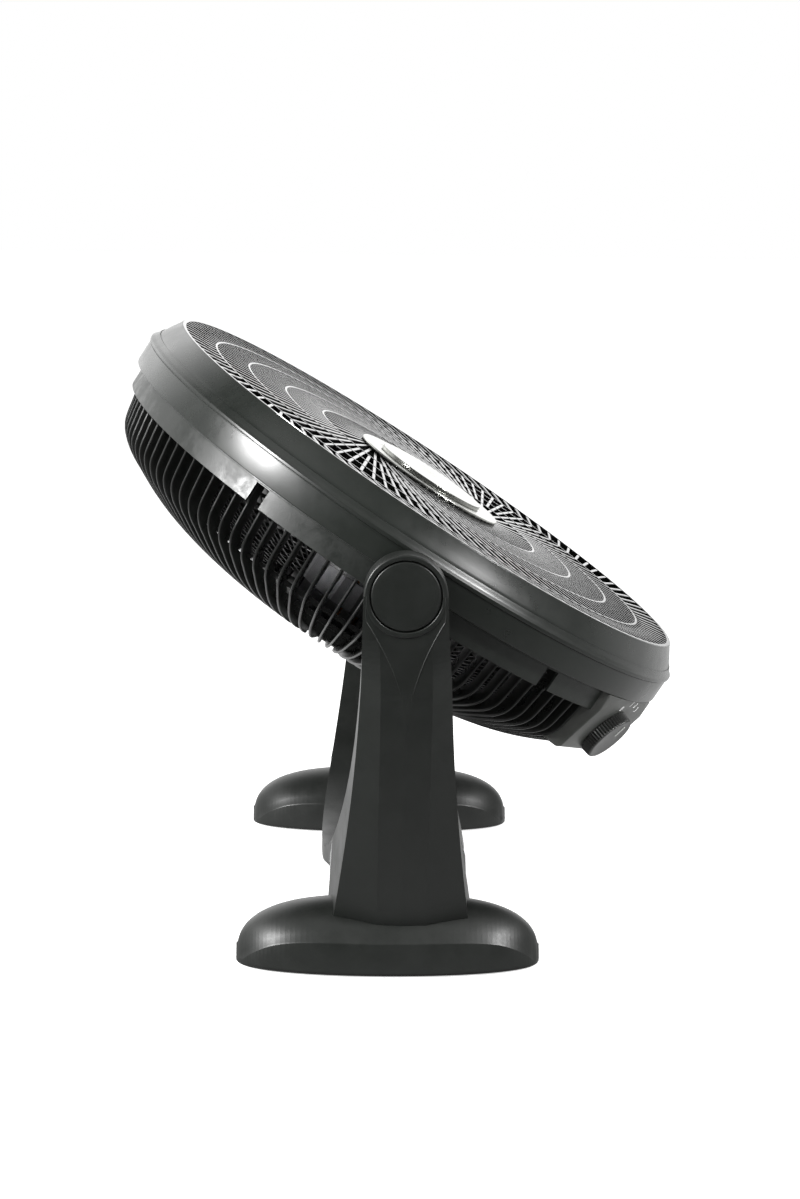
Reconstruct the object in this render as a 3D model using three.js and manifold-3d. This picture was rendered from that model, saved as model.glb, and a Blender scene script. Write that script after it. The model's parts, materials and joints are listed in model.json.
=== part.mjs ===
// Air circulator fan: a round head that tilts between the arms of a U-shaped yoke on two feet.
// Millimetres, +Z up. The fan blows along +X when its head is level; Y runs across, arm to arm.
// Head pieces are drawn with +Z along the blowing direction and +X towards the head's lower edge,
// then turned as one group about the pivot axis to the angle at which the photograph shows them.
import * as THREE from 'three'
import { mergeVertices } from 'three/addons/utils/BufferGeometryUtils.js'
import loadManifold from 'manifold-3d'

const kernel = await loadManifold()
kernel.setup()
const { Manifold, Mesh: KernelMesh } = kernel
const rad = THREE.MathUtils.degToRad

// ---------------------------------------------------------------- driving dimensions
const HEAD_R = 283 // outer radius of the head's drum ring
const TILT = 57.5 // the face looks this many degrees above level in the photograph
const SEAT = 0.3 // gap left between pieces that touch
const RUN = 0.3 // radial gap of turning fits
const WALL = 2.5 // moulded wall thickness

// distances along the blowing direction, measured from the pivot plane
const RIM_Z = 55.5 // front edge of the grille's rim
const DRUM_FRONT = 32 // where the front grille drops into the drum ring
const DRUM_REAR = 5 // rear edge of the drum ring
const SKIRT_REAR = -16 // rear edge of the rear grille's solid skirt
const BACK_Z = -108 // flat back of the rear grille

// front grille
const RIM_INSET = 15.5 // the rim is this much smaller in radius than the drum ring
const RIM_R = HEAD_R - RIM_INSET
const SKIRT_R = HEAD_R - 4 // outside of the skirt that drops into the drum ring
const FACE_TURN = 9.5 // width of the turned-down edge inside the rim
const FACE_R = RIM_R - FACE_TURN // edge of the grille's flat face, where it turns down to the rim
const FACE_SINK = 1.8 // depth of that edge below the rim
const FRONT_CROWN = 1.2 // rise of the face from there towards the cap
const CAP_R = 74
const RINGS = [0.228, 0.447, 0.661, 0.85] // where the rings lie between the cap and the face's edge
const RING_RADII = RINGS.map((share) => CAP_R + share * (FACE_R - CAP_R))
const RING_W = 3.2
const FRONT_BARS = 28
const BAR_W = 2.7
const BAR_D = 3
const BAR_OFFSET = 58 // the straight bars pass this far from the head's axis
const BAR_HOOK = rad(26) // turn of each bar past the last ring

// rear grille
const REAR_RIBS = 28
const RIB_W = 3
const SHOULDER_INSET = 13 // the rib basket starts this far inside the drum ring
const HUB_PLATE_R = 88
const HUB_BORE_R = 30
const PLATE_T = 5

// controls: the panel's middle is turned this far round the head from its lowest point
const PANEL_TURN = -30
const PANEL_LEAN = 13
const PANEL_HALF = 58
const PANEL_Z = -33
const PANEL_SINK = 10.5 // the panel's face at the knob lies this far inside the drum ring
const PANEL_R = HEAD_R - PANEL_SINK
const PANEL_REAR = -60
const PANEL_DEPTH = 25
const PANEL_WALL = 3
const KNOB_R = 24.5
const KNOB_H = 11
const SPINDLE_R = 4
const SWITCH = 30 // sides of the switch behind the panel
const SWITCH_H = 14

// motor and blade
const MOTOR_R = 52
const MOTOR_END = 22 // depth of the motor's rear shell
const MOTOR_NOSE = 20 // depth of its front shell
const CORE_H = 26
const STATOR_BORE_R = 27
const AIR_GAP = 1
const SHELL_T = 2
const SHAFT_R = 4
const BEARING_R = 12
const BEARING_H = 7
const MOTOR_SCREW_R = MOTOR_R - 15 // the screws' circle
const BLADE_GAP = 7.5 // from the blade's tips to the control housing
const BLADE_R = PANEL_R - PANEL_DEPTH - BLADE_GAP
const BLADE_COUNT = 5
const BLADE_HUB_R = 46

// yoke
const HEAD_GAP = 9 // from the drum ring to the yoke
const ARM_IN = HEAD_R + HEAD_GAP // inner radius of the yoke about the pivot
const ARM_T = 22 // thickness of the bar under the head
const BAR_FLOOR = 30 // from the floor to the bar under the head
const PIVOT_H = BAR_FLOOR + ARM_IN + ARM_T // height of the pivot axis above the floor
const BOSS_R = 33.6 // round top of an arm
const BOSS_Y = ARM_IN + ARM_T // outer face of an arm's top
const BAR_HALF = 68 // half width of the bar under the head
const FACET_HALF = 21 // half width of the flat facet down an arm

// feet
const FOOT_X = -8
const FOOT_INSET = 79 // a foot's middle lies this far inside the drum ring's edge
const FOOT_Y = HEAD_R - FOOT_INSET
const FOOT_L = 131
const FOOT_W = 45
const FOOT_H = 58
const FOOT_WALL = 31
const FLOOR_GAP = 1.5
const ARM_FOOT_Y = FOOT_Y + FOOT_W - 5 // outer face of an arm where it meets its foot

// ---------------------------------------------------------------- small tools
const group = new THREE.Group()
group.name = 'air_circulator_fan'
const head = new THREE.Group()
head.position.z = PIVOT_H
head.rotation.y = rad(90 - TILT)
group.add(head)

function solidFrom(points, faces) {
  const geometry = new THREE.BufferGeometry()
  geometry.setAttribute('position', new THREE.Float32BufferAttribute(points.flat(), 3))
  geometry.setIndex(faces.flat())
  return facingOut(geometry)
}

function facingOut(geometry) {
  const at = geometry.getAttribute('position')
  const index = geometry.getIndex()
  const [a, b, c] = [new THREE.Vector3(), new THREE.Vector3(), new THREE.Vector3()]
  let volume = 0
  for (let i = 0; i < index.count; i += 3) {
    a.fromBufferAttribute(at, index.getX(i))
    b.fromBufferAttribute(at, index.getX(i + 1))
    c.fromBufferAttribute(at, index.getX(i + 2))
    volume += a.dot(b.cross(c))
  }
  if (volume < 0) {
    for (let i = 0; i < index.count; i += 3) {
      const first = index.getX(i)
      index.setX(i, index.getX(i + 2))
      index.setX(i + 2, first)
    }
  }
  return geometry
}

const polar = (radius, angle, z) => [radius * Math.cos(angle), radius * Math.sin(angle), z]
const quad = (a, b, c, d) => [[a, b, c], [a, c, d]]

// Merges points that coincide and drops the triangles that close up, as at a lathe's axis.
function welded(geometry) {
  geometry.deleteAttribute('normal')
  geometry.deleteAttribute('uv')
  const merged = mergeVertices(geometry, 1e-4)
  const index = Array.from(merged.getIndex().array)
  const kept = []
  for (let i = 0; i < index.length; i += 3) {
    const face = index.slice(i, i + 3)
    if (new Set(face).size === 3) kept.push(...face)
  }
  merged.setIndex(kept)
  return merged
}

// A closed profile of [radius, height] points turned about Z.
function revolve(profile, segments) {
  const outline = [...profile, profile[0]].map(([radius, z]) => new THREE.Vector2(radius, z))
  return facingOut(welded(new THREE.LatheGeometry(outline, segments)).rotateX(Math.PI / 2))
}

// A skin through rings of points, closed at both ends from each ring's middle.
function loft(rings) {
  const points = rings.flat()
  const count = rings[0].length
  const faces = []
  for (let i = 0; i + 1 < rings.length; i++) {
    for (let j = 0; j < count; j++) {
      const k = (j + 1) % count
      faces.push(...quad(i * count + j, i * count + k, (i + 1) * count + k, (i + 1) * count + j))
    }
  }
  for (const [start, flip] of [[0, true], [(rings.length - 1) * count, false]]) {
    const middle = [0, 1, 2].map((axis) => {
      const sum = points.slice(start, start + count).reduce((total, point) => total + point[axis], 0)
      return sum / count
    })
    const centre = points.push(middle) - 1
    for (let j = 0; j < count; j++) {
      const k = (j + 1) % count
      faces.push(flip ? [centre, start + k, start + j] : [centre, start + j, start + k])
    }
  }
  return solidFrom(points, faces)
}

// A thick sheet on a grid that closes on itself: rows run outwards, columns go round.
// at(row, column) gives the point on its outer and inner faces; filled(row, column) says where
// there is material. Edges beside an empty cell are walled.
function lattice(rowCount, columnCount, at, filled) {
  const points = []
  const known = new Map()
  const corner = (row, column, side) => {
    const key = `${row},${column % columnCount},${side}`
    if (!known.has(key)) known.set(key, points.push(at(row, column % columnCount)[side]) - 1)
    return known.get(key)
  }
  const has = (row, column) =>
    row >= 0 && row < rowCount - 1 && filled(row, (column + columnCount) % columnCount)
  const faces = []
  for (let i = 0; i < rowCount - 1; i++) {
    for (let j = 0; j < columnCount; j++) {
      if (!has(i, j)) continue
      const [a, b, c, d] = [[i, j], [i + 1, j], [i + 1, j + 1], [i, j + 1]]
      const on = (side) => [a, b, c, d].map(([row, column]) => corner(row, column, side))
      const [top, under] = [on(0), on(1)]
      faces.push(...quad(...top), ...quad(...under.slice().reverse()))
      const sides = [[0, i, j - 1], [1, i + 1, j], [2, i, j + 1], [3, i - 1, j]]
      for (const [edge, row, column] of sides) {
        const end = (edge + 1) % 4
        if (!has(row, column)) faces.push(...quad(top[end], top[edge], under[edge], under[end]))
      }
    }
  }
  return solidFrom(points, faces)
}

const cylinder = (radius, from, to, segments = 16) =>
  revolve([[0, from], [radius, from], [radius, to], [0, to]], segments)

const tube = (inner, outer, from, to, segments = 16) =>
  revolve([[inner, from], [outer, from], [outer, to], [inner, to]], segments)

const block = (x, y, z) => welded(new THREE.BoxGeometry(x, y, z))

function toKernel(geometry) {
  return new Manifold(new KernelMesh({
    numProp: 3,
    vertProperties: new Float32Array(geometry.getAttribute('position').array),
    triVerts: new Uint32Array(geometry.getIndex().array),
  }))
}

function fromKernel(manifold) {
  const mesh = manifold.getMesh()
  const geometry = new THREE.BufferGeometry()
  geometry.setAttribute('position', new THREE.BufferAttribute(mesh.vertProperties, 3))
  geometry.setIndex(new THREE.BufferAttribute(mesh.triVerts, 1))
  return geometry
}

const join = (...parts) => fromKernel(Manifold.union(parts.map(toKernel)))
const cut = (body, ...tools) => fromKernel(Manifold.difference([body, ...tools].map(toKernel)))

function add(parent, name, geometry, finish) {
  const mesh = new THREE.Mesh(geometry, finish.clone())
  mesh.name = name
  parent.add(mesh)
  return mesh
}

// Turns a piece drawn along +Z so that it runs along side * Y, at the given point.
const alongY = (geometry, side, x = 0, y = 0, z = 0) =>
  geometry.rotateX(side > 0 ? -Math.PI / 2 : Math.PI / 2).translate(x, y, z)

const SIDES = [['near', -1], ['far', 1]]

// ---------------------------------------------------------------- finishes
const finish = (color, roughness, metalness) =>
  new THREE.MeshStandardMaterial({ color, roughness, metalness })
const BLACK = finish(0x343634, 0.42, 0)
const GRILLE_BLACK = finish(0x2c2e2c, 0.3, 0)
const BLADE_BLACK = finish(0x383a38, 0.5, 0)
const SILVER = finish(0xdcdcd8, 0.35, 0.3)
const KNOB_GREY = finish(0x5c5e5c, 0.5, 0)
const RUBBER = finish(0x242524, 0.9, 0)
const STEEL = finish(0xc4c6c8, 0.35, 1)
const ALUMINIUM = finish(0xc9cccf, 0.4, 1)
const CORE_STEEL = finish(0x85868a, 0.55, 1)
const COPPER = finish(0xb06a35, 0.45, 0.8)
const SWITCH_GREY = finish(0x6b6c6a, 0.6, 0)
const CAPACITOR_WHITE = finish(0xe4e4df, 0.55, 0)

// ---------------------------------------------------------------- yoke
const YOKE_STATIONS = 20
const ARM_LEAN_POWER = 1.7 // how late the arm's outer face turns in towards its foot

// Outer face of an arm at a height: upright at the pivot, leaning in towards the foot.
function armFace(z) {
  const down = Math.max(0, (PIVOT_H - z) / (PIVOT_H - BAR_FLOOR))
  return BOSS_Y - (BOSS_Y - ARM_FOOT_Y) * down ** ARM_LEAN_POWER
}

// Distance from the pivot to the yoke's outer face, at an angle from straight down.
function yokeOuter(angle, footStart) {
  if (angle < footStart) return ARM_IN + ARM_T
  const toFloor = (PIVOT_H - BAR_FLOOR) / Math.max(Math.cos(angle), 1e-6)
  let reach = ARM_IN + ARM_T
  for (let step = 0; step < 30; step++) {
    reach = armFace(PIVOT_H - reach * Math.cos(angle)) / Math.max(Math.sin(angle), 1e-6)
  }
  return Math.min(toFloor, reach)
}

function yokeSection(angle, footStart, side) {
  const outer = yokeOuter(angle, footStart)
  const half = BOSS_R + (BAR_HALF - BOSS_R) * Math.cos(angle) ** 3
  const onArm = THREE.MathUtils.smoothstep(angle, footStart - 0.01, footStart + 0.01)
  const fade = onArm * THREE.MathUtils.smoothstep(Math.PI / 2 - angle, 0.02, 0.42)
  const facet = THREE.MathUtils.lerp(half, FACET_HALF, fade)
  const shoulder = outer - fade * Math.min(16, 0.55 * (outer - ARM_IN))
  const edge = half - 3 * fade
  const place = (x, radius) => [x, side * radius * Math.sin(angle), PIVOT_H - radius * Math.cos(angle)]
  return [
    place(-facet, outer), place(-edge, shoulder), place(-half, ARM_IN),
    place(half, ARM_IN), place(edge, shoulder), place(facet, outer),
  ]
}

function yokeBody() {
  const footStart = Math.asin((FOOT_Y - FOOT_W + 4) / (ARM_IN + ARM_T))
  const angles = []
  for (let i = 0; i <= YOKE_STATIONS / 2; i++) angles.push((i * Math.PI) / YOKE_STATIONS)
  angles.push(footStart - 0.001, footStart + 0.001)
  angles.sort((a, b) => a - b)
  const arm = (side) => angles.map((angle) => yokeSection(angle, footStart, side))
  return loft([...arm(-1).reverse(), ...arm(1).slice(1)])
}

function footRing(along, grow) {
  const x = FOOT_L * Math.sin(along)
  const end = Math.abs(Math.sin(along))
  const half = Math.max(FOOT_W * Math.cos(along) ** 0.75, 7) + grow
  const crest = Math.max(FOOT_WALL * (1 - end ** 6), 7)
  const top = Math.max(FOOT_H * Math.cbrt(1 - end ** 3), 16) + grow
  const ring = []
  for (const side of [-1, 1]) {
    const run = [[side * half, FLOOR_GAP - grow], [side * half, crest]]
    for (let i = 1; i < 4; i++) {
      const turn = (i / 4) * (Math.PI / 2)
      const lie = Math.cos(turn) ** 0.8
      run.push([side * (half - 2) * lie, crest + (top - crest) * Math.sin(turn) ** 0.85])
    }
    ring.push(...(side < 0 ? run : run.reverse()))
    if (side < 0) ring.push([0, top])
  }
  return ring.map(([y, z]) => [x * (1 + grow / FOOT_L), y, z])
}

function footBody(grow = 0) {
  const steps = 12
  const rings = []
  for (let i = 0; i <= steps; i++) rings.push(footRing(-Math.PI / 2 + (Math.PI * i) / steps, grow))
  return loft(rings)
}

const PAD_R = 10
const PAD_X = FOOT_L - 43
const PAD_DEEP = 4
const HOLLOW_L = 2 * (PAD_X - PAD_R) - 6 // the foot's underside is hollow between its pads
const HOLLOW_W = 2 * FOOT_W - 26
const HOLLOW_H = FOOT_WALL - 3
const padPlaces = [['front', 1], ['rear', -1]]

function feet() {
  for (const [name, side] of SIDES) {
    const pockets = padPlaces.map(([, end]) =>
      cylinder(PAD_R + SEAT, -1, PAD_DEEP + SEAT, 12).translate(end * PAD_X, 0, 0))
    const hollow = block(HOLLOW_L, HOLLOW_W, 2 * HOLLOW_H)
    const foot = cut(footBody(), hollow, ...pockets)
    add(group, `foot_${name}`, foot.translate(FOOT_X, side * FOOT_Y, 0), BLACK)
    for (const [where, end] of padPlaces) {
      const pad = cylinder(PAD_R, 0, PAD_DEEP, 12)
      add(group, `foot_pad_${name}_${where}`, pad.translate(FOOT_X + end * PAD_X, side * FOOT_Y, 0), RUBBER)
    }
  }
}

const CAP_RECESS = 4
const BOLT_R = 5
const BOLT_HEAD_R = 9
const BOLT_WELL = 12
const WASHER_T = 1.5
const WASHER_R = 17

function yoke() {
  const bosses = SIDES.map(([, side]) =>
    alongY(cylinder(BOSS_R, ARM_IN, BOSS_Y, 24), side, 0, 0, PIVOT_H))
  const wells = SIDES.flatMap(([, side]) => [
    alongY(cylinder(BOSS_R - 5, BOSS_Y - CAP_RECESS, BOSS_Y + 5, 24), side, 0, 0, PIVOT_H),
    alongY(cylinder(BOLT_HEAD_R + RUN + 1, BOSS_Y - BOLT_WELL, BOSS_Y, 12), side, 0, 0, PIVOT_H),
    alongY(cylinder(BOLT_R + RUN, ARM_IN - 5, BOSS_Y, 12), side, 0, 0, PIVOT_H),
    alongY(cylinder(WASHER_R + 1, ARM_IN - 8, ARM_IN, 16), side, 0, 0, PIVOT_H),
  ])
  const seats = SIDES.map(([, side]) => footBody(SEAT).translate(FOOT_X, side * FOOT_Y, 0))
  add(group, 'yoke', cut(join(yokeBody(), ...bosses), ...wells, ...seats), BLACK)
  for (const [name, side] of SIDES) {
    const crown = BOSS_Y - 0.4
    const back = BOSS_Y - CAP_RECESS + SEAT
    const cap = revolve([[0, back], [BOSS_R - 5.4, back], [BOSS_R - 5.4, crown - 1.2],
      [BOSS_R - 8, crown], [0, crown + 0.6]], 24)
    add(group, `pivot_cap_${name}`, alongY(cap, side, 0, 0, PIVOT_H), BLACK)
    const washer = tube(BOLT_R + RUN, WASHER_R, ARM_IN - SEAT - WASHER_T, ARM_IN - SEAT, 10)
    add(group, `friction_washer_${name}`, alongY(washer, side, 0, 0, PIVOT_H), STEEL)
  }
}

// ---------------------------------------------------------------- drum ring
const DRUM_SEGMENTS = 52
const BOSS_FACE = ARM_IN - SEAT - WASHER_T - SEAT
const DRUM_BOSS_R = 17
const BOLT_TIP = HEAD_R - 24
const NUT_R = 8

function drumRing() {
  const inner = HEAD_R - WALL - 0.5
  const ring = revolve([[HEAD_R, DRUM_REAR], [HEAD_R, DRUM_FRONT - 5], [HEAD_R + 2, DRUM_FRONT - 3.5],
    [HEAD_R + 2, DRUM_FRONT + 1], [HEAD_R + 0.5, DRUM_FRONT + 3], [inner, DRUM_FRONT + 3],
    [inner, DRUM_REAR]], DRUM_SEGMENTS)
  const bosses = SIDES.map(([, side]) => alongY(cylinder(DRUM_BOSS_R, BOLT_TIP + 4, BOSS_FACE, 14), side))
  const bores = SIDES.flatMap(([, side]) => [
    alongY(cylinder(BOLT_R + SEAT, BOLT_TIP, BOSS_Y, 12), side),
    alongY(cylinder(NUT_R + SEAT, BOLT_TIP, BOLT_TIP + 11, 6), side),
  ])
  add(head, 'drum_ring', cut(join(ring, ...bosses), ...bores), BLACK)
  for (const [name, side] of SIDES) {
    const bolt = revolve([[0, BOLT_TIP - 1], [BOLT_R, BOLT_TIP - 1], [BOLT_R, BOSS_Y - BOLT_WELL + RUN],
      [BOLT_HEAD_R, BOSS_Y - BOLT_WELL + RUN], [BOLT_HEAD_R, BOSS_Y - 5], [0, BOSS_Y - 5]], 12)
    add(head, `pivot_bolt_${name}`, alongY(bolt, side), STEEL)
    const hexagon = cylinder(NUT_R, BOLT_TIP + 4, BOLT_TIP + 11 - SEAT, 6)
    const nut = cut(hexagon, cylinder(BOLT_R + SEAT, BOLT_TIP, BOLT_TIP + 20, 12))
    add(head, `pivot_nut_${name}`, alongY(nut, side), STEEL)
  }
}

// ---------------------------------------------------------------- front grille
const crownAt = (radius) => RIM_Z - FACE_SINK + FRONT_CROWN * (1 - (radius / FACE_R) ** 2)

// Angle between a bar and the radius where it crosses the given radius.
function barLean(radius) {
  const bend = RING_RADII.at(-1)
  if (radius <= bend) return Math.asin(BAR_OFFSET / radius)
  return Math.asin((bend * Math.sin(Math.asin(BAR_OFFSET / bend) + BAR_HOOK)) / radius)
}

function frontGrille() {
  const rows = [CAP_R - 12, CAP_R]
  for (const radius of RING_RADII) rows.push(radius - RING_W / 2, radius + RING_W / 2)
  const face = rows.map((radius, i) =>
    ({ radius, z: crownAt(radius), ring: i % 2 === 0, drop: [0, BAR_D] }))
  face.push({ radius: FACE_R, z: crownAt(FACE_R), ring: false, drop: [0.6, BAR_D] })
  const skirt = [[RIM_R - 4, RIM_Z - 0.4, 0.8, BAR_D], [RIM_R, RIM_Z, WALL, BAR_D],
    [SKIRT_R, DRUM_FRONT + 4, WALL, 0], [SKIRT_R, DRUM_FRONT - 6, WALL, 0]]
    .map(([radius, z, ...drop]) => ({ radius, z, ring: true, drop }))
  const path = [...face, ...skirt]
  const at = (row, column) => {
    const { radius, z, drop } = path[row]
    const side = column % 2 ? 1 : -1
    const crossed = Math.min(Math.max(radius, CAP_R), RIM_R)
    const lean = barLean(crossed)
    const half = BAR_W / (2 * crossed * Math.cos(lean))
    const turn = (radius > RING_RADII.at(-1) ? BAR_HOOK : 0) - lean
    const angle = (2 * Math.PI * Math.floor(column / 2)) / FRONT_BARS + turn + side * half
    return [polar(radius, angle, z), polar(radius - drop[0], angle, z - drop[1])]
  }
  const filled = (row, column) => path[row].ring || column % 2 === 0
  add(head, 'front_grille', lattice(path.length, 2 * FRONT_BARS, at, filled), GRILLE_BLACK)
}

function centreCap() {
  const seat = crownAt(CAP_R - 12) + SEAT
  const inner = 53
  add(head, 'centre_cap', revolve([[0, seat], [CAP_R - 1, seat], [CAP_R - 0.4, seat + 1.2],
    [CAP_R - 3, seat + 3], [inner + 4, seat + 4], [inner + 2, seat + 1.6], [0, seat + 1.6]], 26), SILVER)
  const base = seat + 1.6 + SEAT
  add(head, 'centre_disc', revolve([[0, base], [inner, base], [inner, base + 2.4], [inner - 3, base + 3.2],
    [0, base + 3.6]], 26), SILVER)
}

// ---------------------------------------------------------------- control panel and knob
// Places a piece drawn in panel terms (X outwards from the head's axis, Y round the head).
const onPanel = (geometry) => geometry.rotateZ(rad(PANEL_TURN))
const panelFace = (z) => PANEL_R + (z - PANEL_Z) * Math.tan(rad(PANEL_LEAN))
// Places a piece drawn along +Z with its foot at the knob's centre on the panel's face.
const onKnobAxis = (geometry) =>
  onPanel(geometry.rotateY(rad(90 + PANEL_LEAN)).translate(PANEL_R, 0, PANEL_Z))

function panelBlock(grow, inset = 0) {
  const [top, bottom] = [DRUM_REAR - SEAT + grow - inset, PANEL_REAR - grow + inset]
  const half = PANEL_HALF + grow - inset
  const outline = [
    [panelFace(top) + grow - inset, top], [panelFace(bottom) + grow - inset, bottom + 3],
    [panelFace(bottom) - 4 + grow - inset, bottom], [PANEL_R - PANEL_DEPTH - grow - 4 * inset, bottom],
    [PANEL_R - PANEL_DEPTH - grow - 4 * inset, top],
  ]
  return onPanel(loft([-half, half].map((y) => outline.map(([x, z]) => [x, y, z]))))
}

function controls() {
  const within = (inset) => {
    const drum = cylinder(HEAD_R - inset, PANEL_REAR - 5, DRUM_REAR + 5, DRUM_SEGMENTS)
    return fromKernel(Manifold.intersection([panelBlock(0, inset), drum].map(toKernel)))
  }
  const spindle = onKnobAxis(cylinder(SPINDLE_R + RUN, -20, 20, 12))
  add(head, 'control_housing', cut(within(0), within(PANEL_WALL), spindle), BLACK)
  const deep = -PANEL_WALL - SEAT - 0.4
  const switchBody = block(SWITCH, SWITCH, SWITCH_H).translate(0, 0, deep - SWITCH_H / 2)
  const socket = cylinder(SPINDLE_R + RUN, deep - 9, deep + 1, 12)
  add(head, 'rotary_switch', onKnobAxis(cut(switchBody, socket)), SWITCH_GREY)

  const flutes = 15
  const ring = (radius, z, bite) => Array.from({ length: 2 * flutes }, (_, i) =>
    polar(radius - (i % 2 ? bite : 0), (Math.PI * i) / flutes, z))
  const grip = loft([ring(KNOB_R, 0.6, 1.4), ring(KNOB_R - 0.6, KNOB_H - 1.5, 1.4),
    ring(KNOB_R - 2, KNOB_H, 0)])
  const stem = cylinder(SPINDLE_R, deep - 8, 2, 10)
  const dish = cylinder(KNOB_R - 4, KNOB_H - 1.6, KNOB_H + 1, 18)
  add(head, 'knob', onKnobAxis(cut(join(grip, stem), dish)), BLACK)
  const face = cylinder(KNOB_R - 4 - SEAT, KNOB_H - 1.6 + SEAT, KNOB_H - 0.2, 18)
  const pointer = block(13, 2.4, 1.2).translate(-11, 0, KNOB_H)
  add(head, 'knob_face', onKnobAxis(join(face, pointer)), KNOB_GREY)
}

// ---------------------------------------------------------------- rear grille
// The basket's profile from its shoulder to its flat back, as shares of the way in and back.
const BASKET = [[0, 0.03], [0.033, 0.348], [0.181, 0.587], [0.385, 0.783], [0.659, 0.924], [0.679, 0.93]]
const basketPoint = ([inward, back]) => [
  THREE.MathUtils.lerp(HEAD_R - SHOULDER_INSET, HUB_PLATE_R, inward),
  THREE.MathUtils.lerp(SKIRT_REAR, BACK_Z, back),
]
const MOTOR_SCREWS = [45, 135, 225, 315]
const SLOT_W = 14
const SLOTS = [-120, -57.5, 57.5, 120, 180]
const SLOT_FRONT = DRUM_REAR - 3

const screwHole = (degrees, radius, from, to) =>
  cylinder(radius, from, to, 8).translate(MOTOR_SCREW_R, 0, 0).rotateZ(rad(degrees))

function rearGrille() {
  const start = HEAD_R - WALL - 0.5 - SEAT - 0.9
  const rows = [[start, DRUM_REAR + 5], [start, DRUM_REAR - SEAT], [HEAD_R - 7, DRUM_REAR - 1.5],
    [HEAD_R - 7, SKIRT_REAR], ...BASKET.map(basketPoint), [HUB_PLATE_R, BACK_Z], [HUB_BORE_R, BACK_Z]]
  const skirtRows = 4
  const plateRow = rows.length - 2
  const ringRow = plateRow - 2
  const at = (row, column) => {
    const bar = Math.floor(column / 2)
    const side = column % 2 ? 1 : -1
    const [radius, z] = rows[row]
    const before = rows[Math.max(row - 1, 0)]
    const after = rows[Math.min(row + 1, rows.length - 1)]
    const along = new THREE.Vector2(after[0] - before[0], after[1] - before[1]).normalize()
    const thick = row < skirtRows ? WALL : PLATE_T
    const half = RIB_W / (2 * Math.max(radius, HUB_PLATE_R))
    const angle = (2 * Math.PI * (bar + 0.5)) / REAR_RIBS + side * half
    const flatRow = row >= plateRow
    const inner = flatRow ? [radius, z + thick] : [radius + along.y * thick, z - along.x * thick]
    return [polar(radius, angle, z), polar(inner[0], angle, inner[1])]
  }
  const filled = (row, column) =>
    row < skirtRows - 1 || row === ringRow || row >= plateRow || column % 2 === 0
  const basket = lattice(rows.length, 2 * REAR_RIBS, at, filled)
  const height = SLOT_FRONT - SKIRT_REAR + 2
  const slots = SLOTS.map((degrees) =>
    block(16, SLOT_W, height).translate(HEAD_R - 8, 0, SLOT_FRONT - height / 2).rotateZ(rad(degrees)))
  const holes = MOTOR_SCREWS.map((degrees) => screwHole(degrees, 2.3, BACK_Z - 2, BACK_Z + 9))
  const pivots = SIDES.map(([, side]) =>
    alongY(cylinder(DRUM_BOSS_R + SEAT + 0.3, HEAD_R - 40, BOSS_FACE, 14), side))
  add(head, 'rear_grille', cut(basket, panelBlock(SEAT), ...pivots, ...slots, ...holes), GRILLE_BLACK)
  add(head, 'rear_hub_cover', revolve([[0, BACK_Z - SEAT - 4], [26, BACK_Z - SEAT - 3.4],
    [HUB_BORE_R + 2, BACK_Z - SEAT - 1.5], [HUB_BORE_R + 2, BACK_Z - SEAT],
    [HUB_BORE_R - 2, BACK_Z - SEAT], [HUB_BORE_R - 2, BACK_Z + PLATE_T - 1],
    [0, BACK_Z + PLATE_T - 1]], 16), BLACK)
}

// ---------------------------------------------------------------- motor
const MOTOR_BACK = BACK_Z + PLATE_T + SEAT
const CORE_REAR = MOTOR_BACK + MOTOR_END
const CORE_FRONT = CORE_REAR + CORE_H
const MOTOR_FRONT = CORE_FRONT + MOTOR_NOSE

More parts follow.
